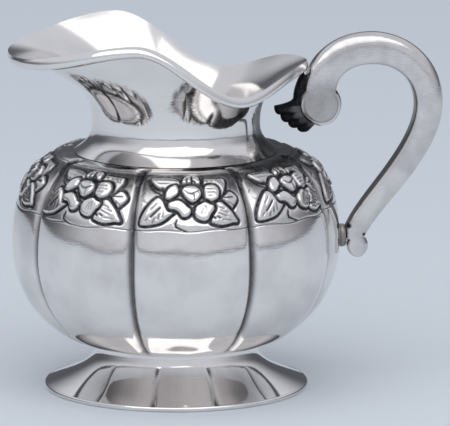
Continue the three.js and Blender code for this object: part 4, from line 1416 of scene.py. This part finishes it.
def add_tent(scene, colours):
    """Light tent open at the back: pale cloth in front and overhead, a dim room low behind the table."""
    scene.world = bpy.data.worlds.new("light_tent")
    scene.world.use_nodes = True
    tree = scene.world.node_tree
    place = add_node(tree, "ShaderNodeTexCoord").outputs["Generated"]
    parts = add_node(tree, "ShaderNodeSeparateXYZ", {0: place}).outputs
    behind = spread(tree, parts["Y"], -1.0, 0.75, kind="SMOOTHSTEP")
    low = spread(tree, parts["Z"], 0.55, 0.2, kind="SMOOTHSTEP")
    below = spread(tree, parts["Z"], 0.015, -0.015, kind="SMOOTHSTEP")
    tone = blend(tree, reckon(tree, "MULTIPLY", behind, low), colours.tent, colours.room)
    tone = blend(tree, below, tone, colours.gap)
    tree.links.new(tone, tree.nodes["Background"].inputs["Color"])


def add_lamp(scene):
    """One broad soft box hung level overhead, a little to the front and turned to the spout."""
    lamp = bpy.data.lights.new("soft_box", "AREA")
    lamp.shape = "RECTANGLE"
    lamp.size = 1.6
    lamp.size_y = 1.4
    lamp.energy = 6.5
    holder = bpy.data.objects.new("soft_box", lamp)
    holder.location = (-0.09, -0.83, 0.95)
    holder.rotation_euler = (0.0, 0.0, math.radians(-34.0))
    scene.collection.objects.link(holder)


def add_camera(scene):
    """Long lens a little toward the spout and above the lip, framed like the photograph."""
    aim = Vector(np.array(CAMERA_AIM) * MM + AXIS)
    level = math.cos(CAMERA_LIFT)
    back = Vector((
        -math.sin(CAMERA_TURN) * level, -math.cos(CAMERA_TURN) * level, math.sin(CAMERA_LIFT)
    ))
    lens = bpy.data.cameras.new("camera")
    lens.sensor_width = SENSOR_WIDTH
    lens.lens = SENSOR_WIDTH * PIXELS_PER_MM * CAMERA_DISTANCE / PICTURE_WIDTH
    lens.clip_end = 50.0
    camera = bpy.data.objects.new("camera", lens)
    camera.location = aim + CAMERA_DISTANCE * MM * back
    camera.rotation_euler = (-back).to_track_quat("-Z", "Y").to_euler()
    scene.collection.objects.link(camera)
    scene.camera = camera


class VIEW3D_PT_creamer(bpy.types.Panel):
    """Lists the creamer's pieces and the stage in the sidebar."""

    bl_idname = "VIEW3D_PT_creamer"
    bl_label = "Silver creamer"
    bl_space_type = "VIEW_3D"
    bl_region_type = "UI"
    bl_category = "Creamer"

    def draw(self, context):
        for operator in OPERATORS:
            self.layout.operator(operator.bl_idname)


OPERATORS = (
    CREAMER_OT_bowl, CREAMER_OT_neck, CREAMER_OT_foot, CREAMER_OT_handle, CREAMER_OT_stage,
)
SETTINGS = {
    "creamer_bowl": CreamerBowlSizes,
    "creamer_neck": CreamerNeckSizes,
    "creamer_foot": CreamerFootSizes,
    "creamer_handle": CreamerHandleSizes,
    "creamer_finish": CreamerFinish,
}
CLASSES = (*SETTINGS.values(), *OPERATORS, VIEW3D_PT_creamer)


def register():
    """Adds the settings, the operators and the panel."""
    for made in CLASSES:
        bpy.utils.register_class(made)
    for key, group in SETTINGS.items():
        setattr(bpy.types.Scene, key, PointerProperty(type=group))


def unregister():
    """Takes them away again."""
    for key in SETTINGS:
        delattr(bpy.types.Scene, key)
    for made in reversed(CLASSES):
        bpy.utils.unregister_class(made)


def main():
    """Builds every piece and the stage."""
    register()
    bpy.ops.creamer.bowl()
    bpy.ops.creamer.neck()
    bpy.ops.creamer.foot()
    bpy.ops.creamer.handle()
    bpy.ops.creamer.stage()


if __name__ == "__main__":
    main()
